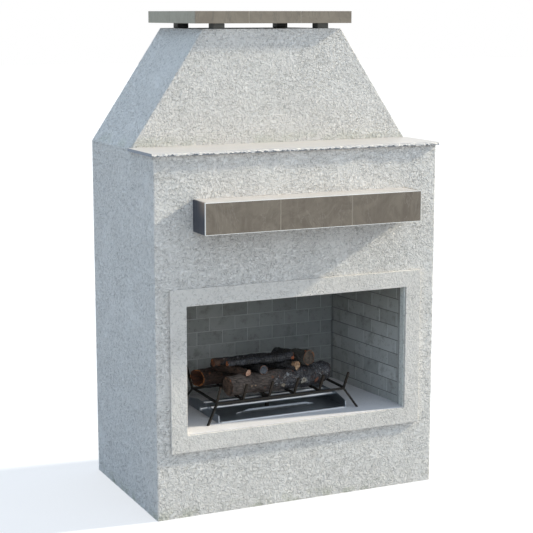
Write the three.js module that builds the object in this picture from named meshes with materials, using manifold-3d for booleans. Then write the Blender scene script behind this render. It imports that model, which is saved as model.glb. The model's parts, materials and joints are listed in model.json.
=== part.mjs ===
// An outdoor gas fireplace. A stuccoed box stands on a steel skid and carries a tapered chimney,
// a tiled cap on four posts and a tiled mantel. Inside are a brick-lined firebox, a smoke dome
// with its flue, a burner pan and a grate with logs, and the gas valve sits behind a rear door.
// Lengths are millimetres. X runs to the right, Y to the back and Z up. The origin is on the
// floor, in the middle of the whole fireplace's footprint.
import * as THREE from "three";
import { mergeVertices } from "three/addons/utils/BufferGeometryUtils.js";
import Module from "manifold-3d";

const wasm = await Module();
wasm.setup();

// Driving dimensions: shared clearances
const gap = 0.3;
const cutOverrun = 5;

// Driving dimensions: lower box
const bodyWidth = 1524;
const bodyDepth = 898;
const bodyTop = 1765;
const wallThickness = 25;
const deckThickness = 25;
const studSize = 41;
const studGauge = 1.5;
const skidHeight = 80;

// Driving dimensions: ledge over the lower box
const ledgeThickness = 15;
const ledgeFrontOverhang = 24.5;
const ledgeSideOverhang = 12;
const ledgeRaggedness = 7;
const ledgeChipPitch = 22;

// Driving dimensions: chimney
const bendHeight = 1772;
const chimneySetback = 315.5;
const chimneyTop = 2344;
const chimneyTopWidth = 756;
const crownThickness = 25;
const crownHoleClearance = 1;
const flueDiameter = 254;
const flueWall = 3;
const flueCollarHeight = 40;
const domeTop = 1700;
const domeWall = 3;
const domeTopShare = 0.42;
const deckHoleClearance = 30;

// Driving dimensions: cap
const capSideOverhang = 48.5;
const capHeight = 59.7;
const capFrontSetback = 289.4;
const capBackOverhang = 42.2;
const postSize = 61;
const postHeight = 26;
const postSideInset = 92.5;
const postFrontDepth = 361;
const postBackDepth = 836;
const tileThickness = 10;
const tileJoint = 1.5;

// Driving dimensions: mantel
const mantelLeftMargin = 196.45;
const mantelRightMargin = 171.85;
const mantelBottom = 1404.4;
const mantelHeight = 152.2;
const mantelProjection = 152.9;
const trimWidth = 2.5;
const bracketSize = 25;
const bracketReach = 110;
const bracketPitch = 400;

// Driving dimensions: opening and its raised surround
const openingLeftMargin = 151;
const openingRightMargin = 171;
const openingHeight = 634;
const hearthHeight = 416.2;
const surroundBorder = 84;
const surroundThickness = 27;
const linerThickness = 12;
const linerDepth = 41;

// Driving dimensions: firebox
const fireboxDepth = 694;
const jambReveal = 9;
const backNarrowing = 65;
const brickPanelThickness = 35;
const brickPanelHeight = 684;
const brickLength = 147.2;
const brickHeight = 72.6;
const brickJointWidth = 5;
const brickJointDepth = 2.5;
const firstCourseHeight = 41.8;
const backSeamOffset = 27.5;
const sideSeamOffset = 40;
const slabThickness = 50;
const lintelDepth = 40;

// Driving dimensions: burner pan
const panLeftMargin = 217;
const panRightMargin = 275;
const panDepth = 392;
const panFrontDepth = 108;
const panSheet = 3;
const panLipHeight = 8;
const panEndHeight = 39;
const panCrestHeight = 60;
const beadLength = 423;
const beadWidth = 24;
const beadHeight = 8;
const beadTaper = 28;
const beadSetback = 122;
const burnerDiameter = 19;
const burnerWall = 1.5;
const burnerHeight = 44;
const burnerPitch = 104;
const burnerStub = 42;
const portDiameter = 4;
const portPitch = 60;
const portMargin = 40;

// Driving dimensions: gas line and valve
const pipeDiameter = 21.3;
const elbowDiameter = 30;
const elbowLength = 24;
const gasLineHeight = 180;
const gasLineDepth = 800;
const inletX = 320;
const inletProjection = 24;
const valveX = 80;
const valveLength = 80;
const valveBodyDiameter = 34;
const valveEndDiameter = 40;
const valveEndLength = 16;
const valveBossDiameter = 20;
const valveBossHeight = 30;
const leverLength = 78;
const leverWidth = 14;
const leverThickness = 3;
const leverHubDiameter = 22;
const leverNutDiameter = 12;
const leverNutHeight = 5;

// Driving dimensions: rear service door
const serviceWidth = 400;
const serviceHeight = 220;
const serviceBottom = 92;
const serviceCentreX = 0;
const flangeMargin = 22;
const flangeThickness = 2.5;
const sleeveMargin = 14;
const sleeveDepth = 36;
const sheetThickness = 2;
const doorDepth = 12;
const knuckleRadius = 5;
const hingePinRadius = 2.5;
const hingeClearance = 0.2;
const knuckleLength = 26;
const knuckleInset = 24;
const louvreRows = 5;
const louvreColumns = 2;
const louvreLength = 140;
const louvreHeight = 14;
const louvreProjection = 8;
const louvrePitch = 34;
const pullHeight = 70;
const pullProjection = 18;
const pullThickness = 7;
const pullMargin = 16;

// Driving dimensions: log grate
const grateDepth = 325;
const grateFrontDepth = 130;
const grateHeight = 102;
const grateBar = 10;
const grateBars = 6;
const prongRise = 90;
const frontProngLean = 50;
const backProngLean = 75;
const legSpread = 62;
const legReach = 32;

// Driving dimensions: logs
const frontLogRadius = 51;
const frontLogEndRadius = 57;
const backLogRadius = 46;
const branchRadius = 25;
const slimBranchRadius = 19;
const upperLogRadius = 24;
const charredLogRadius = 24;
const stubbyLogRadius = 42;
const stubbyLogEndRadius = 40;
const logSeat = 3;
const branchSeat = 10;
const barSeat = 1;

// Places that follow from the driving dimensions
const halfWidth = bodyWidth / 2;
const frontY = mantelProjection - (mantelProjection + bodyDepth + capBackOverhang) / 2;
const backY = frontY + bodyDepth;
const chimneyFrontY = frontY + chimneySetback;
const topHalf = chimneyTopWidth / 2;
const openingLeft = openingLeftMargin - halfWidth;
const openingRight = halfWidth - openingRightMargin;
const openingWidth = openingRight - openingLeft;
const openingCentreX = (openingLeft + openingRight) / 2;
const openingTop = hearthHeight + openingHeight;
const slabBottom = hearthHeight - slabThickness;
const frameFrontY = frontY + wallThickness + gap;
const frameBackY = backY - wallThickness - gap;
const frameHalf = halfWidth - wallThickness - gap;
const fireboxFrontY = frontY + linerDepth + gap;
const fireboxBackY = frontY + fireboxDepth;
const frontHalf = openingWidth / 2 + jambReveal;
const backHalf = frontHalf - backNarrowing;
const panelBottom = hearthHeight + gap;
const panelTop = panelBottom + brickPanelHeight;
const flueRadius = flueDiameter / 2;
const flueY = (chimneyFrontY + backY) / 2;
const panFrontY = frontY + panFrontDepth;
const panLeft = openingLeft + panLeftMargin;
const panRight = openingRight - panRightMargin;
const panCentreX = (panLeft + panRight) / 2;
const panBottom = hearthHeight + gap;
const panMidY = panFrontY + panDepth / 2;
const grateFrontY = frontY + grateFrontDepth;
const grateWidth = panRight - panLeft;
const grateZ = hearthHeight + grateHeight;
const capBottom = chimneyTop + gap + postHeight + gap;
const capTop = capBottom + capHeight;
const capFrontY = frontY + capFrontSetback;
const capBackY = backY + capBackOverhang;
const capHalf = topHalf + capSideOverhang;
const serviceLeft = serviceCentreX - serviceWidth / 2;
const serviceRight = serviceCentreX + serviceWidth / 2;
const serviceTop = serviceBottom + serviceHeight;
const flangeY = backY + gap + flangeThickness;
const hingeX = serviceLeft - knuckleRadius - gap * 2;
const hingeY = flangeY + knuckleRadius + gap * 3;
const riserX = panCentreX;
const mantelLeft = mantelLeftMargin - halfWidth;
const mantelRight = halfWidth - mantelRightMargin;
const mantelCentreX = (mantelLeft + mantelRight) / 2;

// Solids from outlines, and the joins and cuts between them

function solid(geometry) {
  const bare = geometry.clone();
  bare.deleteAttribute("normal");
  bare.deleteAttribute("uv");
  const merged = mergeVertices(bare);
  const mesh = new wasm.Mesh({
    numProp: 3,
    vertProperties: new Float32Array(merged.attributes.position.array),
    triVerts: new Uint32Array(merged.index.array),
  });
  return new wasm.Manifold(mesh);
}

function shape(manifold) {
  const mesh = manifold.getMesh();
  const geometry = new THREE.BufferGeometry();
  geometry.setAttribute("position", new THREE.Float32BufferAttribute(mesh.vertProperties, 3));
  geometry.setIndex(Array.from(mesh.triVerts));
  return geometry;
}

function join(...geometries) {
  return shape(geometries.map(solid).reduce((whole, piece) => whole.add(piece)));
}

function cut(geometry, ...tools) {
  return shape(tools.map(solid).reduce((whole, tool) => whole.subtract(tool), solid(geometry)));
}

function box(x0, x1, y0, y1, z0, z1) {
  const geometry = new THREE.BoxGeometry(x1 - x0, y1 - y0, z1 - z0);
  return geometry.translate((x0 + x1) / 2, (y0 + y1) / 2, (z0 + z1) / 2);
}

function outline(points, depth, holes = []) {
  const face = new THREE.Shape(points.map(([u, v]) => new THREE.Vector2(u, v)));
  face.holes = holes.map((hole) => new THREE.Path(hole.map(([u, v]) => new THREE.Vector2(u, v))));
  return new THREE.ExtrudeGeometry(face, { depth, bevelEnabled: false });
}

// An (x, y) outline raised from z0 to z1
function prismZ(points, z0, z1, holes) {
  return outline(points, z1 - z0, holes).translate(0, 0, z0);
}

// A (y, z) outline carried from x0 to x1
function prismX(points, x0, x1, holes) {
  const along = new THREE.Matrix4().makeBasis(
    new THREE.Vector3(0, 1, 0),
    new THREE.Vector3(0, 0, 1),
    new THREE.Vector3(1, 0, 0),
  );
  return outline(points, x1 - x0, holes).applyMatrix4(along).translate(x0, 0, 0);
}

// An (x, z) outline carried from y0 to y1
function prismY(points, y0, y1, holes) {
  const along = new THREE.Matrix4().makeBasis(
    new THREE.Vector3(1, 0, 0),
    new THREE.Vector3(0, 0, 1),
    new THREE.Vector3(0, -1, 0),
  );
  return outline(points, y1 - y0, holes).applyMatrix4(along).translate(0, y1, 0);
}

function rectangle(u0, u1, v0, v1) {
  return [[u0, v0], [u1, v0], [u1, v1], [u0, v1]];
}

// A round or many-sided bar between two points
function bar(from, to, radius, sides = 16) {
  const start = new THREE.Vector3(...from);
  const reach = new THREE.Vector3(...to).sub(start);
  const geometry = new THREE.CylinderGeometry(radius, radius, reach.length(), sides);
  const turn = new THREE.Quaternion().setFromUnitVectors(
    new THREE.Vector3(0, 1, 0),
    reach.clone().normalize(),
  );
  const middle = start.addScaledVector(reach, 0.5);
  return geometry.applyQuaternion(turn).translate(middle.x, middle.y, middle.z);
}

// A square bar between two points, longer by half its size at both ends so that bars join
function squareBar(from, to, size) {
  const start = new THREE.Vector3(...from);
  const end = new THREE.Vector3(...to);
  const reach = end.clone().sub(start);
  const geometry = new THREE.BoxGeometry(size, size, reach.length() + size);
  const facing = new THREE.Matrix4().lookAt(end, start, new THREE.Vector3(0, 0.01, 1));
  const middle = start.add(end).multiplyScalar(0.5);
  return geometry.applyMatrix4(facing).translate(middle.x, middle.y, middle.z);
}

// Rings of points joined one to the next, with their ends closed or the last joined to the first
function loft(rings, ends) {
  const count = rings[0].length;
  const positions = rings.flat(2);
  const faces = [];
  const spans = ends === "closed loop" ? rings.length : rings.length - 1;
  for (let ring = 0; ring < spans; ring += 1) {
    const next = (ring + 1) % rings.length;
    for (let i = 0; i < count; i += 1) {
      const j = (i + 1) % count;
      const a = ring * count + i;
      const b = ring * count + j;
      const c = next * count + j;
      const d = next * count + i;
      faces.push(a, b, c, a, c, d);
    }
  }
  if (ends === "capped") {
    [0, rings.length - 1].forEach((ring, side) => {
      const middle = rings[ring].reduce((sum, p) => sum.map((v, k) => v + p[k] / count), [0, 0, 0]);
      const hub = positions.length / 3;
      positions.push(...middle);
      for (let i = 0; i < count; i += 1) {
        const a = ring * count + i;
        const b = ring * count + ((i + 1) % count);
        faces.push(...(side === 0 ? [hub, b, a] : [hub, a, b]));
      }
    });
  }
  const geometry = new THREE.BufferGeometry();
  geometry.setAttribute("position", new THREE.Float32BufferAttribute(positions, 3));
  geometry.setIndex(faces);
  return facingOut(geometry);
}

// The same faces, turned about where they enclose a negative volume
function facingOut(geometry) {
  const place = geometry.attributes.position;
  const corner = (i) => new THREE.Vector3().fromBufferAttribute(place, i);
  const faces = Array.from(geometry.index.array);
  let volume = 0;
  for (let i = 0; i < faces.length; i += 3) {
    const [a, b, c] = [corner(faces[i]), corner(faces[i + 1]), corner(faces[i + 2])];
    volume += a.dot(b.cross(c));
  }
  if (volume < 0) {
    for (let i = 0; i < faces.length; i += 3) {
      [faces[i + 1], faces[i + 2]] = [faces[i + 2], faces[i + 1]];
    }
    geometry.setIndex(faces);
  }
  return geometry;
}

// A closed (radius, height) profile turned about a vertical axis
function revolve(profile, x, y, segments) {
  const points = [...profile, profile[0]].map(([r, z]) => new THREE.Vector2(r, z));
  const geometry = new THREE.LatheGeometry(points, segments);
  geometry.deleteAttribute("normal");
  geometry.deleteAttribute("uv");
  return facingOut(mergeVertices(geometry)).rotateX(Math.PI / 2).translate(x, y, 0);
}

function circle(x, y, radius, segments) {
  return Array.from({ length: segments }, (_, i) => {
    const angle = (i / segments) * Math.PI * 2;
    return [x + radius * Math.cos(angle), y + radius * Math.sin(angle)];
  });
}

// A smooth repeatable wobble between -1 and 1
function wobble(u, v, seed) {
  const slow = Math.sin(u * 2 + seed * 1.7) * Math.cos(v * 5 + seed);
  const quick = Math.sin(u * 3 - v * 11 + seed * 2.3);
  const fine = Math.sin(u * 7 + v * 23 + seed * 0.9);
  return slow * 0.45 + quick * 0.35 + fine * 0.2;
}

// The parts and their finishes

const finishes = {
  stucco: { color: 0xcdccc6, roughness: 0.9, metalness: 0 },
  smoothStucco: { color: 0xd2d1cc, roughness: 0.8, metalness: 0 },
  ledgeStone: { color: 0xe4dcd5, roughness: 0.35, metalness: 0 },
  tile: { color: 0x7a7166, roughness: 0.4, metalness: 0 },
  paleTile: { color: 0xe4dcd5, roughness: 0.4, metalness: 0 },
  core: { color: 0xb9b4aa, roughness: 0.9, metalness: 0 },
  trim: { color: 0xe9e9e7, roughness: 0.3, metalness: 0.8 },
  galvanised: { color: 0xa9adb0, roughness: 0.45, metalness: 0.9 },
  stainless: { color: 0xb8babc, roughness: 0.3, metalness: 1 },
  polished: { color: 0x50555a, roughness: 0.15, metalness: 1 },
  darkPost: { color: 0x2b2a28, roughness: 0.7, metalness: 0.2 },
  brick: { color: 0x6a6c68, roughness: 0.9, metalness: 0 },
  hearth: { color: 0xa8a6a4, roughness: 0.85, metalness: 0 },
  iron: { color: 0x15130f, roughness: 0.6, metalness: 0.7 },
  log: { color: 0x4a3d35, roughness: 0.95, metalness: 0 },
  char: { color: 0x24221f, roughness: 0.95, metalness: 0 },
  brass: { color: 0xb08d4a, roughness: 0.35, metalness: 1 },
  leverGrip: { color: 0xb03a2a, roughness: 0.5, metalness: 0 },
};

const fireplace = new THREE.Group();

function add(name, geometry, finish) {
  const mesh = new THREE.Mesh(geometry, new THREE.MeshStandardMaterial(finishes[finish]));
  mesh.name = name;
  fireplace.add(mesh);
}

// Skid: a ladder of rails that the box stands on
function skid() {
  const rails = [frameFrontY, frameBackY - studSize].map((y) => (
    box(-frameHalf, frameHalf, y, y + studSize, 0, skidHeight)
  ));
  const sides = [-frameHalf, -studSize / 2, frameHalf - studSize].map((x) => (
    box(x, x + studSize, frameFrontY, frameBackY, 0, skidHeight)
  ));
  const middle = box(-frameHalf, frameHalf, -studSize / 2, studSize / 2, 0, skidHeight);
  return join(...rails, ...sides, middle);
}

// A folded channel between two corners of its box, open on one side: its back, two flanges
function channel([x0, y0, z0], [x1, y1, z1], openAxis, openSide) {
  const low = [x0, y0, z0];
  const high = [x1, y1, z1];
  const sizes = high.map((v, axis) => v - low[axis]);
  const along = sizes.indexOf(Math.max(...sizes));
  const clear = (axis, side) => axis === along || (axis === openAxis && side === openSide);
  const from = low.map((v, axis) => (clear(axis, -1) ? v - cutOverrun : v + studGauge));
  const to = high.map((v, axis) => (clear(axis, 1) ? v + cutOverrun : v - studGauge));
  return cut(
    box(x0, x1, y0, y1, z0, z1),
    box(from[0], to[0], from[1], to[1], from[2], to[2]),
  );
}

// Stud frame: corner studs, the rails that carry the hearth slab, the top rails and the header
// that the mantel's brackets are welded to, all folded channels that open inwards
function studFrame() {
  const top = bodyTop - deckThickness - gap * 2;
  const railTop = slabBottom - gap;
  const headerZ = mantelBottom + mantelHeight / 2;
  const bars = [];
  [-1, 1].forEach((side) => {
    const x = side < 0 ? -frameHalf : frameHalf - studSize;
    [frameFrontY, frameBackY - studSize].forEach((y) => {
      bars.push(channel([x, y, skidHeight + gap], [x + studSize, y + studSize, top], 0, -side));
    });
    [railTop, top].forEach((z) => {
      bars.push(channel([x, frameFrontY, z - studSize], [x + studSize, frameBackY, z], 0, -side));
    });
  });
  const crossRail = (y, z, side) => channel(
    [-frameHalf, y, z - studSize], [frameHalf, y + studSize, z], 1, side,
  );
  bars.push(
    crossRail(frameFrontY, railTop, 1), crossRail(panFrontY + panDepth, railTop, 1),
    crossRail(fireboxBackY, railTop, -1), crossRail(frameFrontY, top, 1),
    crossRail(frameBackY - studSize, top, -1), crossRail(frameFrontY, headerZ + studSize / 2, 1),
  );
  return join(...bars, ...brackets(0));
}

// Three square bars that reach out through the front wall into the mantel's core
function brackets(clearance) {
  const headerZ = mantelBottom + mantelHeight / 2;
  const half = bracketSize / 2 + clearance;
  return [-bracketPitch, 0, bracketPitch].map((offset) => box(
    mantelCentreX + offset - half, mantelCentreX + offset + half,
    frontY - bracketReach - clearance, frameFrontY + studSize / 2,
    headerZ - half, headerZ + half,
  ));
}

function frontPanel() {
  const panel = box(-halfWidth, halfWidth, frontY, frontY + wallThickness, 0, bodyTop - gap);
  const opening = box(
    openingLeft - linerThickness - gap, openingRight + linerThickness + gap,
    frontY - cutOverrun, frontY + wallThickness + cutOverrun,
    slabBottom - gap, openingTop + linerThickness + gap,
  );
  return cut(panel, opening, ...brackets(gap));
}

function sidePanel(side) {
  const outer = side * halfWidth;
  const inner = side * (halfWidth - wallThickness);
  return box(Math.min(outer, inner), Math.max(outer, inner), frameFrontY, frameBackY, 0, bodyTop - gap);
}

function backPanel() {
  const panel = box(-halfWidth, halfWidth, backY - wallThickness, backY, 0, bodyTop - gap);
  const doorway = box(
    serviceLeft + sleeveMargin, serviceRight - sleeveMargin,
    backY - wallThickness - cutOverrun, backY + cutOverrun,
    serviceBottom + sleeveMargin, serviceTop - sleeveMargin,
  );
  const inlet = bar(
    [inletX, backY - wallThickness - cutOverrun, gasLineHeight],
    [inletX, backY + cutOverrun, gasLineHeight],
    pipeDiameter / 2 + gap,
  );
  return cut(panel, doorway, inlet);
}

// Deck: the board under the ledge and the chimney, open round the flue
function deck() {
  const top = bodyTop - gap;
  return prismZ(
    rectangle(-frameHalf, frameHalf, frameFrontY, frameBackY),
    top - deckThickness, top,
    [circle(0, flueY, flueRadius + deckHoleClearance, 32)],
  );
}

// Ledge: a thin stone slab whose front edge is split and ragged
function ledge() {
  const half = halfWidth + ledgeSideOverhang;
  const front = frontY - ledgeFrontOverhang;
  const chips = Math.round((half * 2) / ledgeChipPitch);
  const edge = Array.from({ length: chips + 1 }, (_, i) => {
    const along = i / chips;
    const bite = (wobble(along * 60, along * 37, 4) + 1) / 2;
    const notch = i % 5 === 2 ? 1 : 0;
    return [-half + along * half * 2, front + ledgeRaggedness * Math.min(1, bite * 0.8 + notch * 0.5)];
  });
  const back = chimneyFrontY - gap;
  return prismZ([...edge, [half, back], [-half, back]], bodyTop, bodyTop + ledgeThickness);
}

function chimneyFace(y) {
  const points = [
    [-halfWidth, bodyTop], [halfWidth, bodyTop], [halfWidth, bendHeight],
    [topHalf, chimneyTop], [-topHalf, chimneyTop], [-halfWidth, bendHeight],
  ];
  return prismY(points, y, y + wallThickness);
}

// How far a slanted wall's inner face lies inside its outer face, measured level
function slantWidth() {
  const run = halfWidth - topHalf;
  const rise = chimneyTop - bendHeight;
  return (wallThickness * Math.hypot(run, rise)) / rise;
}

function chimneySide(side) {
  const inset = slantWidth();
  const points = [
    [halfWidth, bodyTop], [halfWidth, bendHeight], [topHalf, chimneyTop],
    [topHalf - inset, chimneyTop], [halfWidth - inset, bendHeight], [halfWidth - inset, bodyTop],
  ];
  const placed = points.map(([x, z]) => [x * side, z]);
  return prismY(
    side > 0 ? placed : placed.reverse(),
    chimneyFrontY + wallThickness + gap, backY - wallThickness - gap,
  );
}

// Crown: the board that closes the chimney round the flue, wedged between the slanted walls
function crown() {
  const slope = (halfWidth - topHalf) / (chimneyTop - bendHeight);
  const halfAtTop = topHalf - slantWidth() - gap;
  const halfBelow = halfAtTop + crownThickness * slope;
  const board = prismY(
    [
      [-halfBelow, chimneyTop - crownThickness], [halfBelow, chimneyTop - crownThickness],
      [halfAtTop, chimneyTop], [-halfAtTop, chimneyTop],
    ],
    chimneyFrontY + wallThickness + gap, backY - wallThickness - gap,
  );
  const hole = bar(
    [0, flueY, chimneyTop - crownThickness - cutOverrun], [0, flueY, chimneyTop + cutOverrun],
    flueRadius + crownHoleClearance, 32,
  );
  return cut(board, hole);
}

// The firebox's plan: how far its inner side face stands from the middle, at a given depth
function sideAt(y) {
  const along = (y - fireboxFrontY) / (fireboxBackY - fireboxFrontY);
  return frontHalf - along * backNarrowing;
}

// A board with grooves for mortar, face towards +Y, its left end at zero and its foot at zero
function brickBoard(length, height, thickness, seamOffset) {
  const board = box(0, length, 0, thickness, 0, height);
  const grooves = [];
  const half = brickJointWidth / 2;
  let course = 0;
  for (let z = firstCourseHeight; z < height; z += brickHeight) {
    grooves.push(box(
      -cutOverrun, length + cutOverrun, thickness - brickJointDepth, thickness + cutOverrun,
      z - half, z + half,
    ));
  }
  for (let z = firstCourseHeight - brickHeight; z < height; z += brickHeight) {
    const shift = course % 2 === 0 ? 0 : brickLength / 2;
    const first = ((seamOffset + shift) % brickLength) - brickLength;
    for (let x = first; x < length; x += brickLength) {
      if (x > brickJointWidth && x < length - brickJointWidth) {
        grooves.push(box(
          x - half, x + half, thickness - brickJointDepth, thickness + cutOverrun,
          Math.max(z, -cutOverrun), Math.min(z + brickHeight, height + cutOverrun),
        ));
      }
    }
    course += 1;
  }
  return cut(board, join(...grooves));
}

function backBrickPanel() {
  const length = backHalf * 2 + brickPanelThickness * 2;
  const board = brickBoard(length, brickPanelHeight, brickPanelThickness, backSeamOffset);
  return board
    .rotateZ(Math.PI)
    .translate(openingCentreX + length / 2, fireboxBackY + brickPanelThickness, panelBottom);
}

function sideBrickPanel(side) {
  const depth = fireboxBackY - gap - fireboxFrontY;
  const inset = frontHalf - sideAt(fireboxBackY - gap);
  const length = Math.hypot(depth, inset);
  const splay = Math.atan2(inset, depth);
  const board = brickBoard(length, brickPanelHeight, brickPanelThickness, sideSeamOffset);
  if (side > 0) {
    board.translate(0, -brickPanelThickness, 0).rotateZ(Math.PI / 2 + splay);
    board.translate(openingCentreX + frontHalf, fireboxFrontY, panelBottom);
  } else {
    board.translate(-length, -brickPanelThickness, 0).rotateZ(-Math.PI / 2 - splay);
    board.translate(openingCentreX - frontHalf, fireboxFrontY, panelBottom);
  }
  const reach = brickPanelThickness + cutOverrun;
  const square = box(
    openingCentreX - frontHalf * 2, openingCentreX + frontHalf * 2,
    fireboxFrontY, fireboxBackY - gap,
    panelBottom - reach, panelTop + reach,
  );
  return shape(solid(board).intersect(solid(square)));
}

function hearthSlab() {
  const left = openingLeft - linerThickness;
  const right = openingRight + linerThickness;
  const wideLeft = openingCentreX - frontHalf - brickPanelThickness;
  const wideRight = openingCentreX + frontHalf + brickPanelThickness;
  const back = fireboxBackY + brickPanelThickness;
  const points = [
    [left, frontY + gap], [right, frontY + gap], [right, frontY + linerDepth],
    [wideRight, frontY + linerDepth], [wideRight, back], [wideLeft, back],
    [wideLeft, frontY + linerDepth], [left, frontY + linerDepth],
  ];
  const hole = circle(riserX, panMidY, pipeDiameter / 2 + gap, 16);
  return prismZ(points, slabBottom, hearthHeight, [hole]);
}

// Liner: the smooth return of the opening, left, above and right
function openingLiner() {
  const points = [
    [openingLeft - linerThickness, panelBottom], [openingLeft, panelBottom],
    [openingLeft, openingTop], [openingRight, openingTop], [openingRight, panelBottom],
    [openingRight + linerThickness, panelBottom],
    [openingRight + linerThickness, openingTop + linerThickness],
    [openingLeft - linerThickness, openingTop + linerThickness],
  ];
  return prismY(points, frontY + gap, frontY + linerDepth);
}

function openingSurround() {
  const outer = rectangle(
    openingLeft - surroundBorder, openingRight + surroundBorder,
    hearthHeight - surroundBorder, openingTop + surroundBorder,
  );
  const inner = rectangle(openingLeft, openingRight, hearthHeight, openingTop);
  return prismY(outer, frontY - surroundThickness, frontY - gap, [inner]);
}

// Lintel: the brick-coloured beam across the firebox's mouth, between its side panels
function fireboxLintel() {
  const back = fireboxFrontY + lintelDepth;
  const front = frontHalf - gap * 2;
  const rear = sideAt(back) - gap * 2;
  const points = [
    [openingCentreX - front, fireboxFrontY], [openingCentreX + front, fireboxFrontY],
    [openingCentreX + rear, back], [openingCentreX - rear, back],
  ];
  return prismZ(points, openingTop, panelTop);
}

// Smoke dome: four flat plates that lean in over the firebox's splayed plan, a flat top plate and
// a round collar that the flue slips over
function smokeDome() {
  const seat = brickPanelThickness / 2;
  const middleY = (fireboxFrontY + fireboxBackY) / 2 + seat;
  const halfDepth = (fireboxBackY - fireboxFrontY) / 2;
  const plan = [[1, 1, backHalf], [-1, 1, backHalf], [-1, -1, frontHalf], [1, -1, frontHalf]];
  // The plan at the foot (lean 0) or, drawn in over the flue's centre, at the top (lean 1)
  const level = (lean, inset, z) => plan.map(([side, end, reach]) => {
    const share = 1 - lean * (1 - domeTopShare);
    return [
      openingCentreX * (1 - lean) + side * ((reach + seat) * share - inset),
      middleY + (flueY - middleY) * lean + end * (halfDepth * share - inset),
      z,
    ];
  });
  const foot = panelTop + gap;
  const outside = loft([level(0, 0, foot), level(1, 0, domeTop)], "capped");
  const inside = loft([
    level(0, domeWall, foot - cutOverrun), level(0, domeWall, foot),
    level(1, domeWall, domeTop - domeWall),
  ], "capped");
  const collar = flueRadius - flueWall - gap;
  const upright = (low, high, radius) => bar([0, flueY, low], [0, flueY, high], radius, 32);
  return cut(
    join(outside, upright(domeTop - domeWall / 2, domeTop + flueCollarHeight, collar)),
    inside,
    upright(
      domeTop - domeWall - cutOverrun, domeTop + flueCollarHeight + cutOverrun, collar - domeWall,
    ),
  );
}

function fluePipe() {
  const inner = flueRadius - flueWall;
  const profile = [
    [inner, domeTop + gap], [flueRadius, domeTop + gap], [flueRadius, chimneyTop], [inner, chimneyTop],
  ];
  return revolve(profile, 0, flueY, 32);
}

function capPost(side, depth) {
  const x = side * (topHalf - postSideInset);
  const y = frontY + depth;
  const half = postSize / 2;
  const foot = chimneyTop + gap;
  return box(x - half, x + half, y - half, y + half, foot, foot + postHeight);
}

// Tiles set side by side along a face, as (from, to) pairs
function tileSpans(from, to, counts) {
  const total = counts.reduce((sum, share) => sum + share, 0);
  let start = from;
  return counts.map((share) => {
    const end = start + ((to - from) * share) / total;
    const span = [start, end];
    start = end;
    return span;
  }).map(([a, b], i) => [
    i === 0 ? a : a + tileJoint / 2,
    i === counts.length - 1 ? b : b - tileJoint / 2,
  ]);
}

const capFrontShares = [1, 1, 1];
const capSideShares = [0.536, 0.464];

function addCap() {
  const inner = capHalf - tileThickness - gap;
  const coreFront = capFrontY + tileThickness + gap;
  const coreBack = capBackY - tileThickness - gap;
  const coreTop = capTop - tileThickness - gap;
  add("cap_core", box(-inner, inner, coreFront, coreBack, capBottom, coreTop), "core");
  tileSpans(-capHalf, capHalf, capFrontShares).forEach(([a, b], i) => {
    const front = box(a, b, capFrontY, capFrontY + tileThickness, capBottom, capTop);
    add(`cap_front_tile_${i + 1}`, front, "tile");
  });
  const joints = (from, to, shares) => tileSpans(from, to, shares).slice(1).map(([start]) => (
    [start - tileJoint, start]
  ));
  const crossJoints = joints(-capHalf, capHalf, capFrontShares);
  const lengthJoints = joints(coreFront, coreBack, capSideShares);
  const around = prismZ([
    [-capHalf, coreFront], [tileThickness - capHalf, coreFront],
    [tileThickness - capHalf, capBackY - tileThickness],
    [capHalf - tileThickness, capBackY - tileThickness], [capHalf - tileThickness, coreFront],
    [capHalf, coreFront], [capHalf, capBackY], [-capHalf, capBackY],
  ], capBottom, capTop);
  const aroundJoints = [
    ...crossJoints.map(([a, b]) => [a, b, capBackY - tileJoint, capBackY + cutOverrun]),
    ...lengthJoints.flatMap(([a, b]) => [
      [-capHalf - cutOverrun, tileJoint - capHalf, a, b],
      [capHalf - tileJoint, capHalf + cutOverrun, a, b],
    ]),
  ].map(([x0, x1, y0, y1]) => box(x0, x1, y0, y1, capBottom - cutOverrun, capTop + cutOverrun));
  add("cap_side_tiles", cut(around, ...aroundJoints), "tile");
  const lid = box(-inner, inner, coreFront, coreBack, capTop - tileThickness, capTop);
  const lidJoints = [
    ...crossJoints.map(([a, b]) => [a, b, coreFront - cutOverrun, coreBack + cutOverrun]),
    ...lengthJoints.map(([a, b]) => [-inner - cutOverrun, inner + cutOverrun, a, b]),
  ].map(([x0, x1, y0, y1]) => box(x0, x1, y0, y1, capTop - tileJoint, capTop + cutOverrun));
  add("cap_top_tiles", cut(lid, ...lidJoints), "tile");
}

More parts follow.
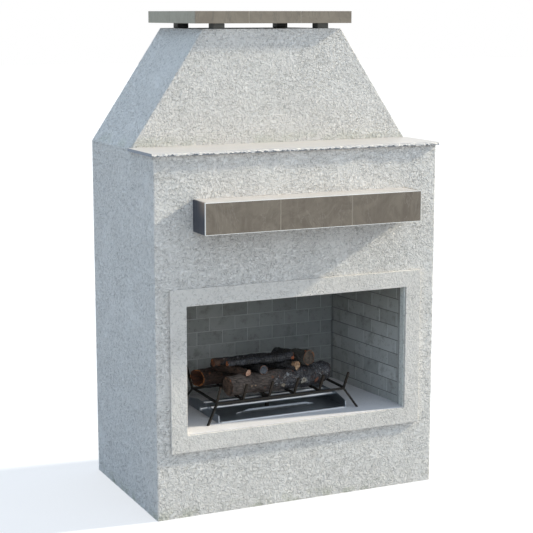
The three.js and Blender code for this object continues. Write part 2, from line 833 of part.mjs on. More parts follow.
// Mantel: a core on three brackets, faced with tiles and edged with a square metal trim
function addMantel() {
  const left = mantelLeft;
  const right = mantelRight;
  const top = mantelBottom + mantelHeight;
  const face = frontY - mantelProjection;
  const behindFace = face + tileThickness + gap;
  const wallSide = frontY - gap;
  const step = tileThickness + gap;
  const core = box(
    left + step, right - step, behindFace, wallSide, mantelBottom + step, top - step,
  );
  add("mantel_core", cut(core, ...brackets(gap)), "core");
  const trim = prismY(
    rectangle(left, right, mantelBottom, top), face, face + tileThickness,
    [rectangle(left + trimWidth, right - trimWidth, mantelBottom + trimWidth, top - trimWidth)],
  );
  add("mantel_trim", trim, "trim");
  const inset = trimWidth + gap;
  tileSpans(left + inset, right - inset, capFrontShares).forEach(([a, b], i) => {
    const tile = box(a, b, face, face + tileThickness, mantelBottom + inset, top - inset);
    add(`mantel_front_tile_${i + 1}`, tile, "tile");
  });
  const endBox = (x0, x1) => box(x0, x1, behindFace, wallSide, mantelBottom, top);
  add("mantel_left_tile", endBox(left, left + tileThickness), "tile");
  add("mantel_right_tile", endBox(right - tileThickness, right), "tile");
  const board = (z) => box(left + step, right - step, behindFace, wallSide, z, z + tileThickness);
  add("mantel_top_tile", board(top - tileThickness), "paleTile");
  add("mantel_bottom_tile", board(mantelBottom), "tile");
}

// Burner pan: a folded tray with crested end plates and a pressed bead along its floor
function panEnd(x) {
  const back = panFrontY + panDepth;
  const crest = panDepth * 0.275;
  const points = [
    [panFrontY, panBottom], [back, panBottom], [back, panBottom + panEndHeight],
    [back - crest, panBottom + panCrestHeight], [panFrontY + crest, panBottom + panCrestHeight],
    [panFrontY, panBottom + panEndHeight],
  ];
  return prismX(points, x, x + panSheet);
}

function burnerPan() {
  const back = panFrontY + panDepth;
  const rise = panBottom + panLipHeight;
  const floor = panBottom + panSheet;
  const tray = prismX([
    [panFrontY, panBottom], [back, panBottom], [back, rise], [back - panSheet, rise],
    [back - panSheet, floor], [panFrontY + panSheet, floor], [panFrontY + panSheet, rise],
    [panFrontY, rise],
  ], panLeft, panRight);
  const beadY = panFrontY + beadSetback;
  const half = beadLength / 2;
  const foot = floor - panSheet / 2;
  const ring = (width, length, z) => [
    [riserX - length / 2, beadY, z], [riserX - length / 2 + beadTaper, beadY - width / 2, z],
    [riserX + length / 2 - beadTaper, beadY - width / 2, z], [riserX + length / 2, beadY, z],
    [riserX + length / 2 - beadTaper, beadY + width / 2, z],
    [riserX - length / 2 + beadTaper, beadY + width / 2, z],
  ];
  const bead = loft([
    ring(beadWidth, half * 2, foot), ring(beadWidth / 6, half * 2 - beadTaper, foot + beadHeight),
  ], "capped");
  const stubHole = bar(
    [panLeft - cutOverrun, burnerY(0), burnerZ()], [panLeft + panSheet + cutOverrun, burnerY(0), burnerZ()],
    burnerDiameter / 2 + gap,
  );
  const riserHole = bar(
    [riserX, panMidY, panBottom - cutOverrun], [riserX, panMidY, floor + cutOverrun],
    pipeDiameter / 2 + gap,
  );
  return cut(join(tray, panEnd(panLeft), panEnd(panRight - panSheet), bead), stubHole, riserHole);
}

function burnerY(index) {
  return panMidY + (index - 0.5) * burnerPitch;
}

function burnerZ() {
  return panBottom + burnerHeight;
}

function burnerEnds(index) {
  return [
    index === 0 ? panLeft - burnerStub : panLeft + panSheet + gap,
    panRight - panSheet - gap,
  ];
}

// Crossover: the pipe between the two burner tubes
function crossover(clearance) {
  return bar(
    [riserX, burnerY(0), burnerZ()], [riserX, burnerY(1), burnerZ()],
    pipeDiameter / 2 + clearance,
  );
}

function burnerTube(index) {
  const [x0, x1] = burnerEnds(index);
  const y = burnerY(index);
  const outer = bar([x0, y, burnerZ()], [x1, y, burnerZ()], burnerDiameter / 2);
  const inner = bar(
    [x0 + burnerWall, y, burnerZ()], [x1 - burnerWall, y, burnerZ()],
    burnerDiameter / 2 - burnerWall,
  );
  const ports = [];
  for (let x = panLeft + portMargin; x < panRight - portMargin; x += portPitch) {
    ports.push(bar(
      [x, y, burnerZ()], [x, y, burnerZ() + burnerDiameter], portDiameter / 2, 6,
    ));
  }
  return cut(outer, inner, ...ports);
}

// Manifold: the pipe from the valve, its riser through the hearth and the crossover to both tubes
function burnerManifold() {
  const y = frontY + gasLineDepth;
  const riser = gasPipe([
    [valveX - valveLength / 2 - gap, y, gasLineHeight], [riserX, y, gasLineHeight],
    [riserX, panMidY, gasLineHeight], [riserX, panMidY, burnerZ()],
  ]);
  const tubes = [0, 1].map((index) => {
    const [x0, x1] = burnerEnds(index);
    const y = burnerY(index);
    return bar([x0, y, burnerZ()], [x1, y, burnerZ()], burnerDiameter / 2 + gap);
  });
  return cut(join(riser, crossover(0)), ...tubes);
}

// A gas pipe through corner points, with a thick elbow fitting at each corner
function gasPipe(points) {
  const pieces = [];
  points.slice(1).forEach((to, i) => {
    pieces.push(bar(points[i], to, pipeDiameter / 2));
  });
  points.slice(1, -1).forEach((corner, i) => {
    const middle = new THREE.Vector3(...corner);
    [points[i], points[i + 2]].forEach((end) => {
      const way = new THREE.Vector3(...end).sub(middle).setLength(elbowLength);
      pieces.push(bar(corner, middle.clone().add(way).toArray(), elbowDiameter / 2));
    });
    pieces.push(
      new THREE.SphereGeometry(elbowDiameter / 2, 16, 8).translate(...corner),
    );
  });
  return join(...pieces);
}

function inletPipe() {
  const y = frontY + gasLineDepth;
  return gasPipe([
    [inletX, backY + inletProjection, gasLineHeight], [inletX, y, gasLineHeight],
    [valveX + valveLength / 2 + gap, y, gasLineHeight],
  ]);
}

function gasValve() {
  const y = frontY + gasLineDepth;
  const x0 = valveX - valveLength / 2;
  const x1 = valveX + valveLength / 2;
  const along = (a, b, radius, sides) => (
    bar([a, y, gasLineHeight], [b, y, gasLineHeight], radius, sides)
  );
  const ball = new THREE.SphereGeometry(valveBodyDiameter / 2 + panSheet, 16, 10);
  const boss = bar(
    [valveX, y, gasLineHeight], [valveX, y, gasLineHeight + valveBossHeight], valveBossDiameter / 2,
  );
  return join(
    along(x0, x1, valveBodyDiameter / 2, 16),
    along(x0, x0 + valveEndLength, valveEndDiameter / 2, 6),
    along(x1 - valveEndLength, x1, valveEndDiameter / 2, 6),
    ball.translate(valveX, y, gasLineHeight),
    boss,
  );
}

// Lever: a flat handle on a hub, shown shut, square across the pipe
function gasLever() {
  const y = frontY + gasLineDepth;
  const z = gasLineHeight + valveBossHeight + gap;
  const hub = bar([valveX, y, z], [valveX, y, z + leverThickness * 2], leverHubDiameter / 2);
  const nut = bar(
    [valveX, y, z + leverThickness], [valveX, y, z + leverThickness * 2 + leverNutHeight],
    leverNutDiameter / 2, 6,
  );
  const half = leverWidth / 2;
  const step = leverThickness * 3;
  const handle = prismX([
    [y, z], [y + leverLength * 0.3, z], [y + leverLength * 0.45, z + step], [y + leverLength, z + step],
    [y + leverLength, z + step + leverThickness], [y + leverLength * 0.42, z + step + leverThickness],
    [y + leverLength * 0.27, z + leverThickness], [y, z + leverThickness],
  ], valveX - half, valveX + half);
  return join(hub, nut, handle);
}

// Knuckle heights along the hinge, from the bottom: frame and door take turns
function knuckleSpans(owner) {
  const low = serviceBottom + knuckleInset;
  const high = serviceTop - knuckleInset - knuckleLength * 2;
  return [low, high].map((z) => (
    owner === "frame"
      ? [z, z + knuckleLength - gap]
      : [z + knuckleLength, z + knuckleLength * 2 - gap]
  ));
}

function knuckles(owner) {
  const leaf = (z0, z1) => (
    owner === "frame"
      ? box(
        hingeX - hingePinRadius, hingeX + hingePinRadius,
        flangeY - flangeThickness / 2, hingeY, z0, z1,
      )
      : box(
        hingeX, serviceLeft + sheetThickness / 2,
        hingeY - sheetThickness / 2, hingeY + sheetThickness / 2, z0, z1,
      )
  );
  return knuckleSpans(owner).map(([z0, z1]) => join(
    bar([hingeX, hingeY, z0], [hingeX, hingeY, z1], knuckleRadius), leaf(z0, z1),
  ));
}

function hingeBore() {
  return bar(
    [hingeX, hingeY, serviceBottom - cutOverrun], [hingeX, hingeY, serviceTop + cutOverrun],
    hingePinRadius + hingeClearance,
  );
}

// Pins: each is fixed in a knuckle of the frame and stands up into the door's knuckle above it
function hingePins() {
  return knuckleSpans("frame").map(([z0]) => bar(
    [hingeX, hingeY, z0 + hingePinRadius], [hingeX, hingeY, z0 + knuckleLength * 2 - gap],
    hingePinRadius,
  ));
}

// Door frame: a flange on the wall, a sleeve through it and the fixed hinge knuckles
function serviceFrame() {
  const hole = rectangle(
    serviceLeft + sleeveMargin + gap + sheetThickness, serviceRight - sleeveMargin - gap - sheetThickness,
    serviceBottom + sleeveMargin + gap + sheetThickness, serviceTop - sleeveMargin - gap - sheetThickness,
  );
  const flange = prismY(
    rectangle(
      serviceLeft - flangeMargin, serviceRight + flangeMargin,
      serviceBottom - flangeMargin / 2, serviceTop + flangeMargin / 2,
    ),
    backY + gap, flangeY, [hole],
  );
  const sleeve = prismY(
    rectangle(
      serviceLeft + sleeveMargin + gap, serviceRight - sleeveMargin - gap,
      serviceBottom + sleeveMargin + gap, serviceTop - sleeveMargin - gap,
    ),
    backY - sleeveDepth, flangeY, [hole],
  );
  return join(flange, sleeve, ...knuckles("frame"), ...hingePins());
}

// Louvre: a rounded hood over a slot, open along its lower edge
function louvreHood(x, z, face) {
  const half = louvreLength / 2;
  const arc = (height, depth, foot) => {
    const points = [[face - sheetThickness / 2, z + foot]];
    const steps = 5;
    for (let i = 0; i <= steps; i += 1) {
      const angle = (i / steps) * (Math.PI / 2);
      points.push([face + depth * Math.cos(angle), z + foot + height * Math.sin(angle)]);
    }
    points.push([face - sheetThickness / 2, z + foot + height]);
    return points;
  };
  const shell = prismX(arc(louvreHeight, louvreProjection, 0), x - half, x + half);
  const hollow = prismX(
    arc(louvreHeight - sheetThickness / 2, louvreProjection - sheetThickness / 2, -cutOverrun / 10),
    x - half + sheetThickness / 2, x + half - sheetThickness / 2,
  );
  const slot = box(
    x - half + sheetThickness, x + half - sheetThickness,
    face - sheetThickness - cutOverrun, face + sheetThickness / 2,
    z + sheetThickness / 2, z + louvreHeight - sheetThickness,
  );
  return { shell, hollow, slot };
}

function serviceDoor() {
  const inner = flangeY + gap;
  const face = inner + doorDepth;
  const block = box(serviceLeft, serviceRight, inner, face, serviceBottom, serviceTop);
  const hollow = box(
    serviceLeft + sheetThickness, serviceRight - sheetThickness,
    inner - cutOverrun, face - sheetThickness,
    serviceBottom + sheetThickness, serviceTop - sheetThickness,
  );
  const hoods = [];
  for (let row = 0; row < louvreRows; row += 1) {
    for (let column = 0; column < louvreColumns; column += 1) {
      const x = serviceCentreX + (column - (louvreColumns - 1) / 2) * (louvreLength + sleeveMargin);
      const middle = serviceBottom + serviceHeight / 2 - louvreHeight / 2;
      const z = middle + (row - (louvreRows - 1) / 2) * louvrePitch;
      hoods.push(louvreHood(x, z, face));
    }
  }
  const pullX = serviceRight - pullMargin;
  const pullZ = serviceBottom + serviceHeight / 2;
  const halfPull = pullHeight / 2;
  const pull = prismX(
    rectangle(face - sheetThickness / 2, face + pullProjection, pullZ - halfPull, pullZ + halfPull),
    pullX - pullThickness / 2, pullX + pullThickness / 2,
    [rectangle(
      face + sheetThickness / 2, face + pullProjection - pullThickness,
      pullZ - halfPull + pullThickness, pullZ + halfPull - pullThickness,
    )],
  );
  const tray = cut(block, hollow);
  const covered = join(tray, ...hoods.map((hood) => hood.shell));
  const vented = cut(covered, ...hoods.map((hood) => hood.hollow), ...hoods.map((hood) => hood.slot));
  return cut(join(vented, pull, ...knuckles("door")), hingeBore());
}

// A square bar bent through (y, z) points, mitred at its bends, standing across x
function bentBar(points, x, size) {
  const half = size / 2;
  const ways = points.slice(1).map((to, i) => (
    new THREE.Vector2(to[0] - points[i][0], to[1] - points[i][1]).normalize()
  ));
  const edge = (side) => points.map(([y, z], i) => {
    const before = ways[Math.max(i - 1, 0)];
    const after = ways[Math.min(i, ways.length - 1)];
    const middle = before.clone().add(after).normalize();
    const reach = half / middle.dot(after);
    return [y - side * middle.y * reach, z + side * middle.x * reach];
  });
  return prismX([...edge(-1), ...edge(1).reverse()], x - half, x + half);
}

// Log grate: cross bars whose ends turn up as prongs, on two rails with four splayed legs
function grateTopBars(size) {
  const back = grateFrontY + grateDepth;
  const left = panLeft;
  const right = panRight;
  const tip = grateZ + prongRise;
  const half = size / 2;
  const railZ = grateZ - grateBar / 2;
  const bars = [grateFrontY, back].map((y) => (
    box(left - half, right + half, y - half, y + half, railZ - half, railZ + half)
  ));
  for (let i = 0; i < grateBars; i += 1) {
    bars.push(bentBar([
      [grateFrontY - frontProngLean, tip], [grateFrontY, grateZ], [back, grateZ],
      [back + backProngLean, tip],
    ], left + ((right - left) * i) / (grateBars - 1), size));
  }
  return bars;
}

function logGrate() {
  const back = grateFrontY + grateDepth;
  const left = panLeft;
  const right = panRight;
  const bars = grateTopBars(grateBar);
  const floor = hearthHeight - grateBar;
  const stretch = (grateHeight + grateBar / 2) / (grateHeight - grateBar / 2);
  [[left, -1], [right, 1]].forEach(([x, side]) => {
    [[grateFrontY, -1], [back, 1]].forEach(([y, way]) => {
      const foot = [x + side * legSpread * stretch, y + way * legReach * stretch, floor];
      bars.push(squareBar([x, y, grateZ - grateBar / 2], foot, grateBar));
    });
  });
  const below = box(
    left - grateWidth, right + grateWidth, grateFrontY - grateWidth, back + grateWidth,
    floor - grateWidth, hearthHeight + gap,
  );
  return cut(join(...bars), below);
}

const knotWidthShare = 0.09;
const slantReachShare = 0.25;
const crookStartShare = 0.7;

// How far a log's crook has lifted it at a share of its length, as a share of its whole lift
function crook(along) {
  const t = Math.max(0, (along - crookStartShare) / (1 - crookStartShare));
  return t * t * (3 - 2 * t);
}

// A log or branch between two points, with bark ridges, a bend and swellings. Its first end can
// be sawn aslant, its second end can lift in a crook and narrow to a tip.
function logBody(log, grow) {
  const start = new THREE.Vector3(...log.from);
  const end = new THREE.Vector3(...log.to);
  const way = end.clone().sub(start).normalize();
  start.addScaledVector(way, -grow);
  end.addScaledVector(way, grow);
  const across = new THREE.Vector3(0, 0, 1).cross(way).normalize();
  const up = way.clone().cross(across);
  const rings = Array.from({ length: log.rings + 1 }, (_, k) => {
    const s = k / log.rings;
    const middle = start.clone().lerp(end, s);
    const radius = log.radius + (log.endRadius - log.radius) * s;
    middle.addScaledVector(across, Math.sin(s * Math.PI) * radius * log.bendShare);
    middle.addScaledVector(up, crook(s) * radius * (log.liftShare ?? 0));
    const narrowing = k === log.rings ? log.tipShare ?? 1 : 1;
    const slant = Math.max(0, 1 - s / slantReachShare) * (log.slantShare ?? 0);
    return Array.from({ length: log.sides }, (_, i) => {
      const angle = (i / log.sides) * Math.PI * 2;
      const ridge = 1 + log.barkShare * wobble(angle, s * 4, log.seed);
      const swelling = log.knotShares.reduce((sum, [knotAlong, knotTurn, knotHeight]) => {
        const near = Math.exp(-(((s - knotAlong) / knotWidthShare) ** 2));
        const facing = Math.max(0, Math.cos(angle - knotTurn * Math.PI * 2));
        return sum + knotHeight * near * facing;
      }, 0);
      const reach = radius * (ridge + swelling) * narrowing + grow;
      const p = middle.clone()
        .addScaledVector(across, Math.cos(angle) * reach)
        .addScaledVector(up, Math.sin(angle) * reach)
        .addScaledVector(way, -Math.cos(angle) * reach * slant);
      return p.toArray();
    });
  });
  return loft(rings, "capped");
}

// Places on the grate: a share of its half width from its middle, and of its depth from the front
function grateX(share) {
  return panCentreX + (share * grateWidth) / 2;
}

function grateY(share) {
  return grateFrontY + share * grateDepth;
}

const barTop = grateZ + grateBar / 2;
const onBars = barTop - barSeat;
const onBackLog = onBars + backLogRadius * 2 - logSeat;
const branchTop = onBackLog + branchRadius * 2;
const frontLogShares = [-0.738, 0.86];
const frontLogLiftShare = 0.34;

// The height at which something rests on the front log, which thickens to the right
function onFrontLog(share) {
  const [left, right] = frontLogShares;
  const along = (share - left) / (right - left);
  const radius = frontLogRadius + (frontLogEndRadius - frontLogRadius) * along;
  return onBars + radius * (2 + frontLogLiftShare * crook(along)) - branchSeat;
}

const logs = {
  front_log: {
    from: [grateX(frontLogShares[0]), grateY(0.252), onBars + frontLogRadius],
    to: [grateX(frontLogShares[1]), grateY(0.252), onBars + frontLogEndRadius],
    radius: frontLogRadius, endRadius: frontLogEndRadius, sides: 16, rings: 18, seed: 1,
    barkShare: 0.05, bendShare: 0.06, slantShare: 0.15, liftShare: frontLogLiftShare, tipShare: 0.7,
    knotShares: [[0.78, 0.5, 0.1], [0.86, 0.2, 0.06], [0.56, 0.3, 0.05]],
    finish: "log",
  },
  back_log: {
    from: [grateX(-0.944), grateY(0.954), onBars + backLogRadius],
    to: [grateX(0.744), grateY(0.954), onBars + backLogRadius],
    radius: backLogRadius, endRadius: backLogRadius * 0.95, sides: 16, rings: 14, seed: 2,
    barkShare: 0.045, bendShare: -0.05, slantShare: 0.5, knotShares: [[0.3, 0.2, 0.08]],
    finish: "log",
  },
  left_branch: {
    from: [grateX(-0.442), grateY(0.165), onFrontLog(-0.442) + slimBranchRadius],
    to: [grateX(-0.693), grateY(0.9), onBackLog + slimBranchRadius * 1.5],
    radius: slimBranchRadius, endRadius: slimBranchRadius * 1.5, sides: 12, rings: 12, seed: 3,
    barkShare: 0.07, bendShare: 0.15, knotShares: [[0.3, 0.25, 0.15]],
    finish: "log",
  },
  middle_branch: {
    from: [grateX(-0.208), grateY(0.165), onFrontLog(-0.208) + branchRadius],
    to: [grateX(-0.313), grateY(1.02), onBackLog + branchRadius],
    radius: branchRadius, endRadius: branchRadius, sides: 12, rings: 12, seed: 4,
    barkShare: 0.06, bendShare: -0.1, knotShares: [[0.5, 0.2, 0.1]],
    finish: "char",
  },
  right_branch: {
    from: [grateX(0.321), grateY(0.15), onFrontLog(0.321) + branchRadius],
    to: [grateX(-0.135), grateY(0.93), onBackLog + branchRadius],
    radius: branchRadius, endRadius: branchRadius, sides: 12, rings: 12, seed: 5,
    barkShare: 0.08, bendShare: 0.12, knotShares: [[0.15, 0.6, 0.15]],
    finish: "char",
  },
  upper_log: {
    from: [grateX(-0.862), grateY(0.523), branchTop + upperLogRadius * 1.12],
    to: [grateX(0.222), grateY(0.5), branchTop + upperLogRadius * 1.35],
    radius: upperLogRadius * 1.15, endRadius: upperLogRadius * 0.9, sides: 12, rings: 14, seed: 6,
    barkShare: 0.07, bendShare: 0.2, knotShares: [[0.06, 0.6, 0.2], [0.7, 0.25, 0.12]],
    finish: "char",
  },
  charred_log: {
    from: [grateX(-0.735), grateY(0.3), branchTop + charredLogRadius],
    to: [grateX(0.321), grateY(0.338), branchTop + charredLogRadius],
    radius: charredLogRadius * 0.6, endRadius: charredLogRadius, sides: 12, rings: 16, seed: 7,
    barkShare: 0.06, bendShare: -0.2, knotShares: [[0.35, 0.25, 0.12], [0.6, 0.75, 0.1]],
    finish: "char",
  },
  stubby_log: {
    from: [grateX(0.538), grateY(0.215), onFrontLog(0.538) + branchSeat - logSeat + stubbyLogRadius],
    to: [grateX(0.307), grateY(0.923), onBackLog + stubbyLogEndRadius],
    radius: stubbyLogRadius, endRadius: stubbyLogEndRadius, sides: 14, rings: 12, seed: 8,
    barkShare: 0.06, bendShare: 0.08, knotShares: [[0.2, 0.8, 0.12]],
    finish: "char",
  },
};

// Each log is notched over what it lies on, as cast logs are
const logRests = {
  front_log: [], back_log: [],
  left_branch: ["front_log", "back_log"],
  middle_branch: ["front_log", "back_log"],
  right_branch: ["front_log", "back_log"],
  upper_log: ["left_branch", "middle_branch", "right_branch"],
  charred_log: ["left_branch", "middle_branch", "right_branch"],
  stubby_log: ["front_log", "back_log", "right_branch"],
};

function addLogs() {
  Object.entries(logs).forEach(([name, log]) => {
    const below = logRests[name].length === 0
      ? grateTopBars(grateBar + gap * 2)
      : logRests[name].map((other) => logBody(logs[other], gap));
    add(name, cut(logBody(log, 0), ...below), log.finish);
  });
}

add("base_skid", skid(), "galvanised");
add("stud_frame", studFrame(), "galvanised");
add("front_panel", frontPanel(), "stucco");
add("left_panel", sidePanel(-1), "stucco");
add("right_panel", sidePanel(1), "stucco");
add("back_panel", backPanel(), "stucco");
add("body_deck", deck(), "core");
add("ledge_slab", ledge(), "ledgeStone");
add("chimney_front", chimneyFace(chimneyFrontY), "stucco");
add("chimney_back", chimneyFace(backY - wallThickness), "stucco");
add("chimney_left", chimneySide(-1), "stucco");
add("chimney_right", chimneySide(1), "stucco");
add("chimney_crown", crown(), "core");
add("opening_surround", openingSurround(), "smoothStucco");
add("opening_liner", openingLiner(), "smoothStucco");
add("hearth_slab", hearthSlab(), "hearth");
add("firebox_back", backBrickPanel(), "brick");
add("firebox_left", sideBrickPanel(-1), "brick");
add("firebox_right", sideBrickPanel(1), "brick");
add("firebox_lintel", fireboxLintel(), "brick");
add("smoke_dome", smokeDome(), "galvanised");
add("flue_pipe", fluePipe(), "galvanised");
add("cap_post_front_left", capPost(-1, postFrontDepth), "darkPost");
add("cap_post_front_right", capPost(1, postFrontDepth), "darkPost");
add("cap_post_back_left", capPost(-1, postBackDepth), "darkPost");
add("cap_post_back_right", capPost(1, postBackDepth), "darkPost");
addCap();
addMantel();
add("burner_pan", burnerPan(), "polished");
add("burner_tube_front", burnerTube(0), "stainless");
add("burner_tube_rear", burnerTube(1), "stainless");
add("burner_manifold", burnerManifold(), "iron");
add("gas_inlet_pipe", inletPipe(), "iron");
add("gas_valve", gasValve(), "brass");
add("gas_valve_lever", gasLever(), "leverGrip");
add("service_frame", serviceFrame(), "stainless");
add("service_door", serviceDoor(), "stainless");
add("log_grate", logGrate(), "iron");
addLogs();

export default fireplace;
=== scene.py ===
# %% [markdown]
# # An outdoor fireplace, dressed in Blender
# The solid model of the fireplace comes first, as a fixed frame: every wall, tile, log and pipe
# is already in place and at its real size. This lesson gives each of them its finish. The work
# is done in metres, with the front of the fireplace towards -Y and the chimney up +Z.

# %% Load the solid model
import json
import math

import bmesh
import bpy
import numpy as np
from mathutils import Matrix, Vector

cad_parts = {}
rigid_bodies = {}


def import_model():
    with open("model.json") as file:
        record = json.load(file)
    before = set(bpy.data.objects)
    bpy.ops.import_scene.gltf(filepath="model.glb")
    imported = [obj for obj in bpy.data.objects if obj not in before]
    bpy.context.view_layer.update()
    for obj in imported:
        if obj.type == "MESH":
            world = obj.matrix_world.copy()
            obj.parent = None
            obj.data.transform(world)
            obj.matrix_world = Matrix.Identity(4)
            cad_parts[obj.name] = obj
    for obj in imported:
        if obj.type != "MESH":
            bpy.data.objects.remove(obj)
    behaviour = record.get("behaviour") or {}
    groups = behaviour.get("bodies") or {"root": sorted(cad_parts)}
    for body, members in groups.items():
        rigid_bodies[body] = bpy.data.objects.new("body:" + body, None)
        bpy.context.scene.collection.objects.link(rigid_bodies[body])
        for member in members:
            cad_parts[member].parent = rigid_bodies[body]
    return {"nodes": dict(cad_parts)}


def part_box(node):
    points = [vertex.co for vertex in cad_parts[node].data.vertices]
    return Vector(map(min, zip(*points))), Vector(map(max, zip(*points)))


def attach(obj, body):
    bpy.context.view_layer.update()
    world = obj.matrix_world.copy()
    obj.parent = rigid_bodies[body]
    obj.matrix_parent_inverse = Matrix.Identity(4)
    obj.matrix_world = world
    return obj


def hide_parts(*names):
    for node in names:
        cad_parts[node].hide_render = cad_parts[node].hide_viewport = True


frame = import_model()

scene = bpy.context.scene
nodes = frame["nodes"]
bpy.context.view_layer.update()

# %% [markdown]
# ## The camera
# The picture was taken from the left of the fireplace, a little above its cap and far back. The
# long lens keeps the upright edges nearly parallel, so the place and the lens matter together.
# They come from the straight edges of the picture, solved for one camera that fits all of them.


# %% Camera
def add(name, data):
    """Puts a new object with this data into the scene."""
    made = bpy.data.objects.new(name, data)
    scene.collection.objects.link(made)
    return made


camera_data = bpy.data.cameras.new("picture_camera")
camera_data.lens = 97.66
camera_data.sensor_width = 36
camera = add("picture_camera", camera_data)
camera.location = (-3.098, -6.6605, 2.4188)
camera.rotation_euler = (math.radians(90 - 9.93), 0, math.radians(-24.9433))
scene.camera = camera
scene.view_settings.view_transform = "Standard"
print("camera at", tuple(round(v, 2) for v in camera.location), "lens", camera_data.lens)

# %% [markdown]
# ## Writing node trees in few lines
# Every finish here is a small network of nodes. Adding each node and link by hand makes long
# listings, so the output of a node is wrapped in a value that can be calculated with: each
# sign and each method adds one node to the tree that the value belongs to. Colours are written
# as screen values from 0 to 255 and turned into the linear values that the renderer works with.


# %% Helpers for node trees
def feed(socket, value):
    """Gives an input a plain value, or links a value, a socket or a node's first output to it."""
    value = getattr(value, "socket", value)
    if isinstance(value, bpy.types.Node):
        value = value.outputs[0]
    if isinstance(value, bpy.types.NodeSocket):
        socket.id_data.links.new(value, socket)
    else:
        socket.default_value = value


def put(tree, kind, inputs=None, **settings):
    node = tree.nodes.new(kind)
    for key, value in settings.items():
        setattr(node, key, value)
    for key, value in (inputs or {}).items():
        feed(node.inputs[key], value)
    return node


def linear(colour):
    """A screen colour of three numbers up to 255 as linear light."""
    shares = [value / 255 for value in colour]
    return (*(v / 12.92 if v <= 0.04045 else ((v + 0.055) / 1.055) ** 2.4 for v in shares), 1)


print("white is", linear((255, 255, 255)), "and middle grey is", linear((128, 128, 128)))


# %% A value to calculate with
class Value:
    """The output of a node, to calculate with."""

    def __init__(self, socket):
        self.socket = socket

    def then(self, kind, inputs, output=0, **settings):
        return Value(put(self.socket.id_data, kind, inputs, **settings).outputs[output])

    def maths(self, operation, *others):
        return self.then("ShaderNodeMath", dict(enumerate((self, *others))), operation=operation)

    def __add__(self, other):
        return self.maths("ADD", other)

    def __sub__(self, other):
        return self.maths("SUBTRACT", other)

    def __rsub__(self, other):
        return self.then("ShaderNodeMath", {0: other, 1: self}, operation="SUBTRACT")

    def __mul__(self, other):
        return self.maths("MULTIPLY", other)

    def __truediv__(self, other):
        return self.maths("DIVIDE", other)

    def __abs__(self):
        return self.maths("ABSOLUTE")

    def clamped(self):
        self.socket.node.use_clamp = True
        return self

    def ramp(self, low, high, to_low=0.0, to_high=1.0):
        """Eases from to_low, where the value is low, to to_high, where it is high."""
        levels = dict(enumerate((self, low, high, to_low, to_high)))
        return self.then("ShaderNodeMapRange", levels, interpolation_type="SMOOTHSTEP")

    def mix(self, first, second):
        """Mixes two colours, with the value as the share of the second."""
        first, second = (linear(c) if isinstance(c, tuple) else c for c in (first, second))
        return self.then("ShaderNodeMix", {0: self, 6: first, 7: second}, 2, data_type="RGBA")

    def noise(self, scale, detail=2.0, roughness=0.5, distortion=0.0):
        return self.then("ShaderNodeTexNoise", {
            "Vector": self, "Scale": scale, "Detail": detail, "Roughness": roughness,
            "Distortion": distortion,
        })

    def stretched(self, along_x, along_y, along_z, shift=0.0):
        return self.then("ShaderNodeVectorMath", {
            0: self, 1: (along_x, along_y, along_z), 2: (shift, shift, shift),
        }, operation="MULTIPLY_ADD")

    def xyz(self):
        parts = put(self.socket.id_data, "ShaderNodeSeparateXYZ", {"Vector": self})
        return [Value(socket) for socket in parts.outputs]


print("steps of a value:", [name for name in vars(Value) if not name.startswith("_")])


# %% Node groups with their own sockets
def combine(tree, x, y, z):
    return Value(put(tree, "ShaderNodeCombineXYZ", {0: x, 1: y, 2: z}).outputs[0])


def new_tree(name, family, inputs, *masks):
    """A node group; its own inputs are given as starting numbers or as kinds of socket."""
    tree = bpy.data.node_groups.new(name, family + "NodeTree")
    first = {"Geometry": "Geometry"} if family == "Geometry" else {"Place": "Vector"}
    outputs = dict.fromkeys(masks, "Float") or first
    for way, sockets in (("INPUT", {**first, **inputs}), ("OUTPUT", outputs)):
        for label, value in sockets.items():
            kind = value if isinstance(value, str) else "Float"
            socket = tree.interface.new_socket(label, in_out=way, socket_type="NodeSocket" + kind)
            if kind != value:
                socket.default_value = value
    if family == "Geometry":
        tree.is_modifier = True
    given = tree.nodes.new("NodeGroupInput").outputs
    return tree, {s.name: Value(s) for s in given}, tree.nodes.new("NodeGroupOutput").inputs


print("node groups can now be made")

# %% [markdown]
# ## Effects that several finishes share
# Three effects come back again and again: a cloudy change of tone, fine mineral grain, and the
# scratches that brushing leaves on metal. Each is a node group with named inputs, so that every
# finish can use it with its own values. The groups put out masks and heights, and each
# material keeps its own surface shader.

# %% Shared node groups
clouds_group, given, made = new_tree(
    "cloudy_tone", "Shader", {"Size": 3.0, "Contrast": 0.5}, "Mask")
broad = given["Place"].noise(given["Size"], 5, 0.6, 0.4)
spread = (broad - 0.5).maths("MULTIPLY_ADD", given["Contrast"], 0.5)
feed(made["Mask"], spread.clamped())

grain_group, given, made = new_tree(
    "mineral_grain", "Shader", {"Size": 300.0}, "Grain", "Pits")
feed(made["Grain"], given["Place"].noise(given["Size"], 3, 0.6))
feed(made["Pits"], given["Place"].noise(given["Size"] * 0.4, 2, 0.5).ramp(0.66, 0.72))

brush_group, given, made = new_tree(
    "brushed_lines", "Shader", {"Lines": 900.0, "Length": 0.02}, "Lines")
squeezed = given["Place"].then("ShaderNodeVectorMath", {
    0: given["Place"], 1: combine(brush_group, given["Length"], 1.0, 1.0),
}, operation="MULTIPLY")
feed(made["Lines"], squeezed.noise(given["Lines"], 2, 0.6))
print("shared groups:", [group.name for group in bpy.data.node_groups])


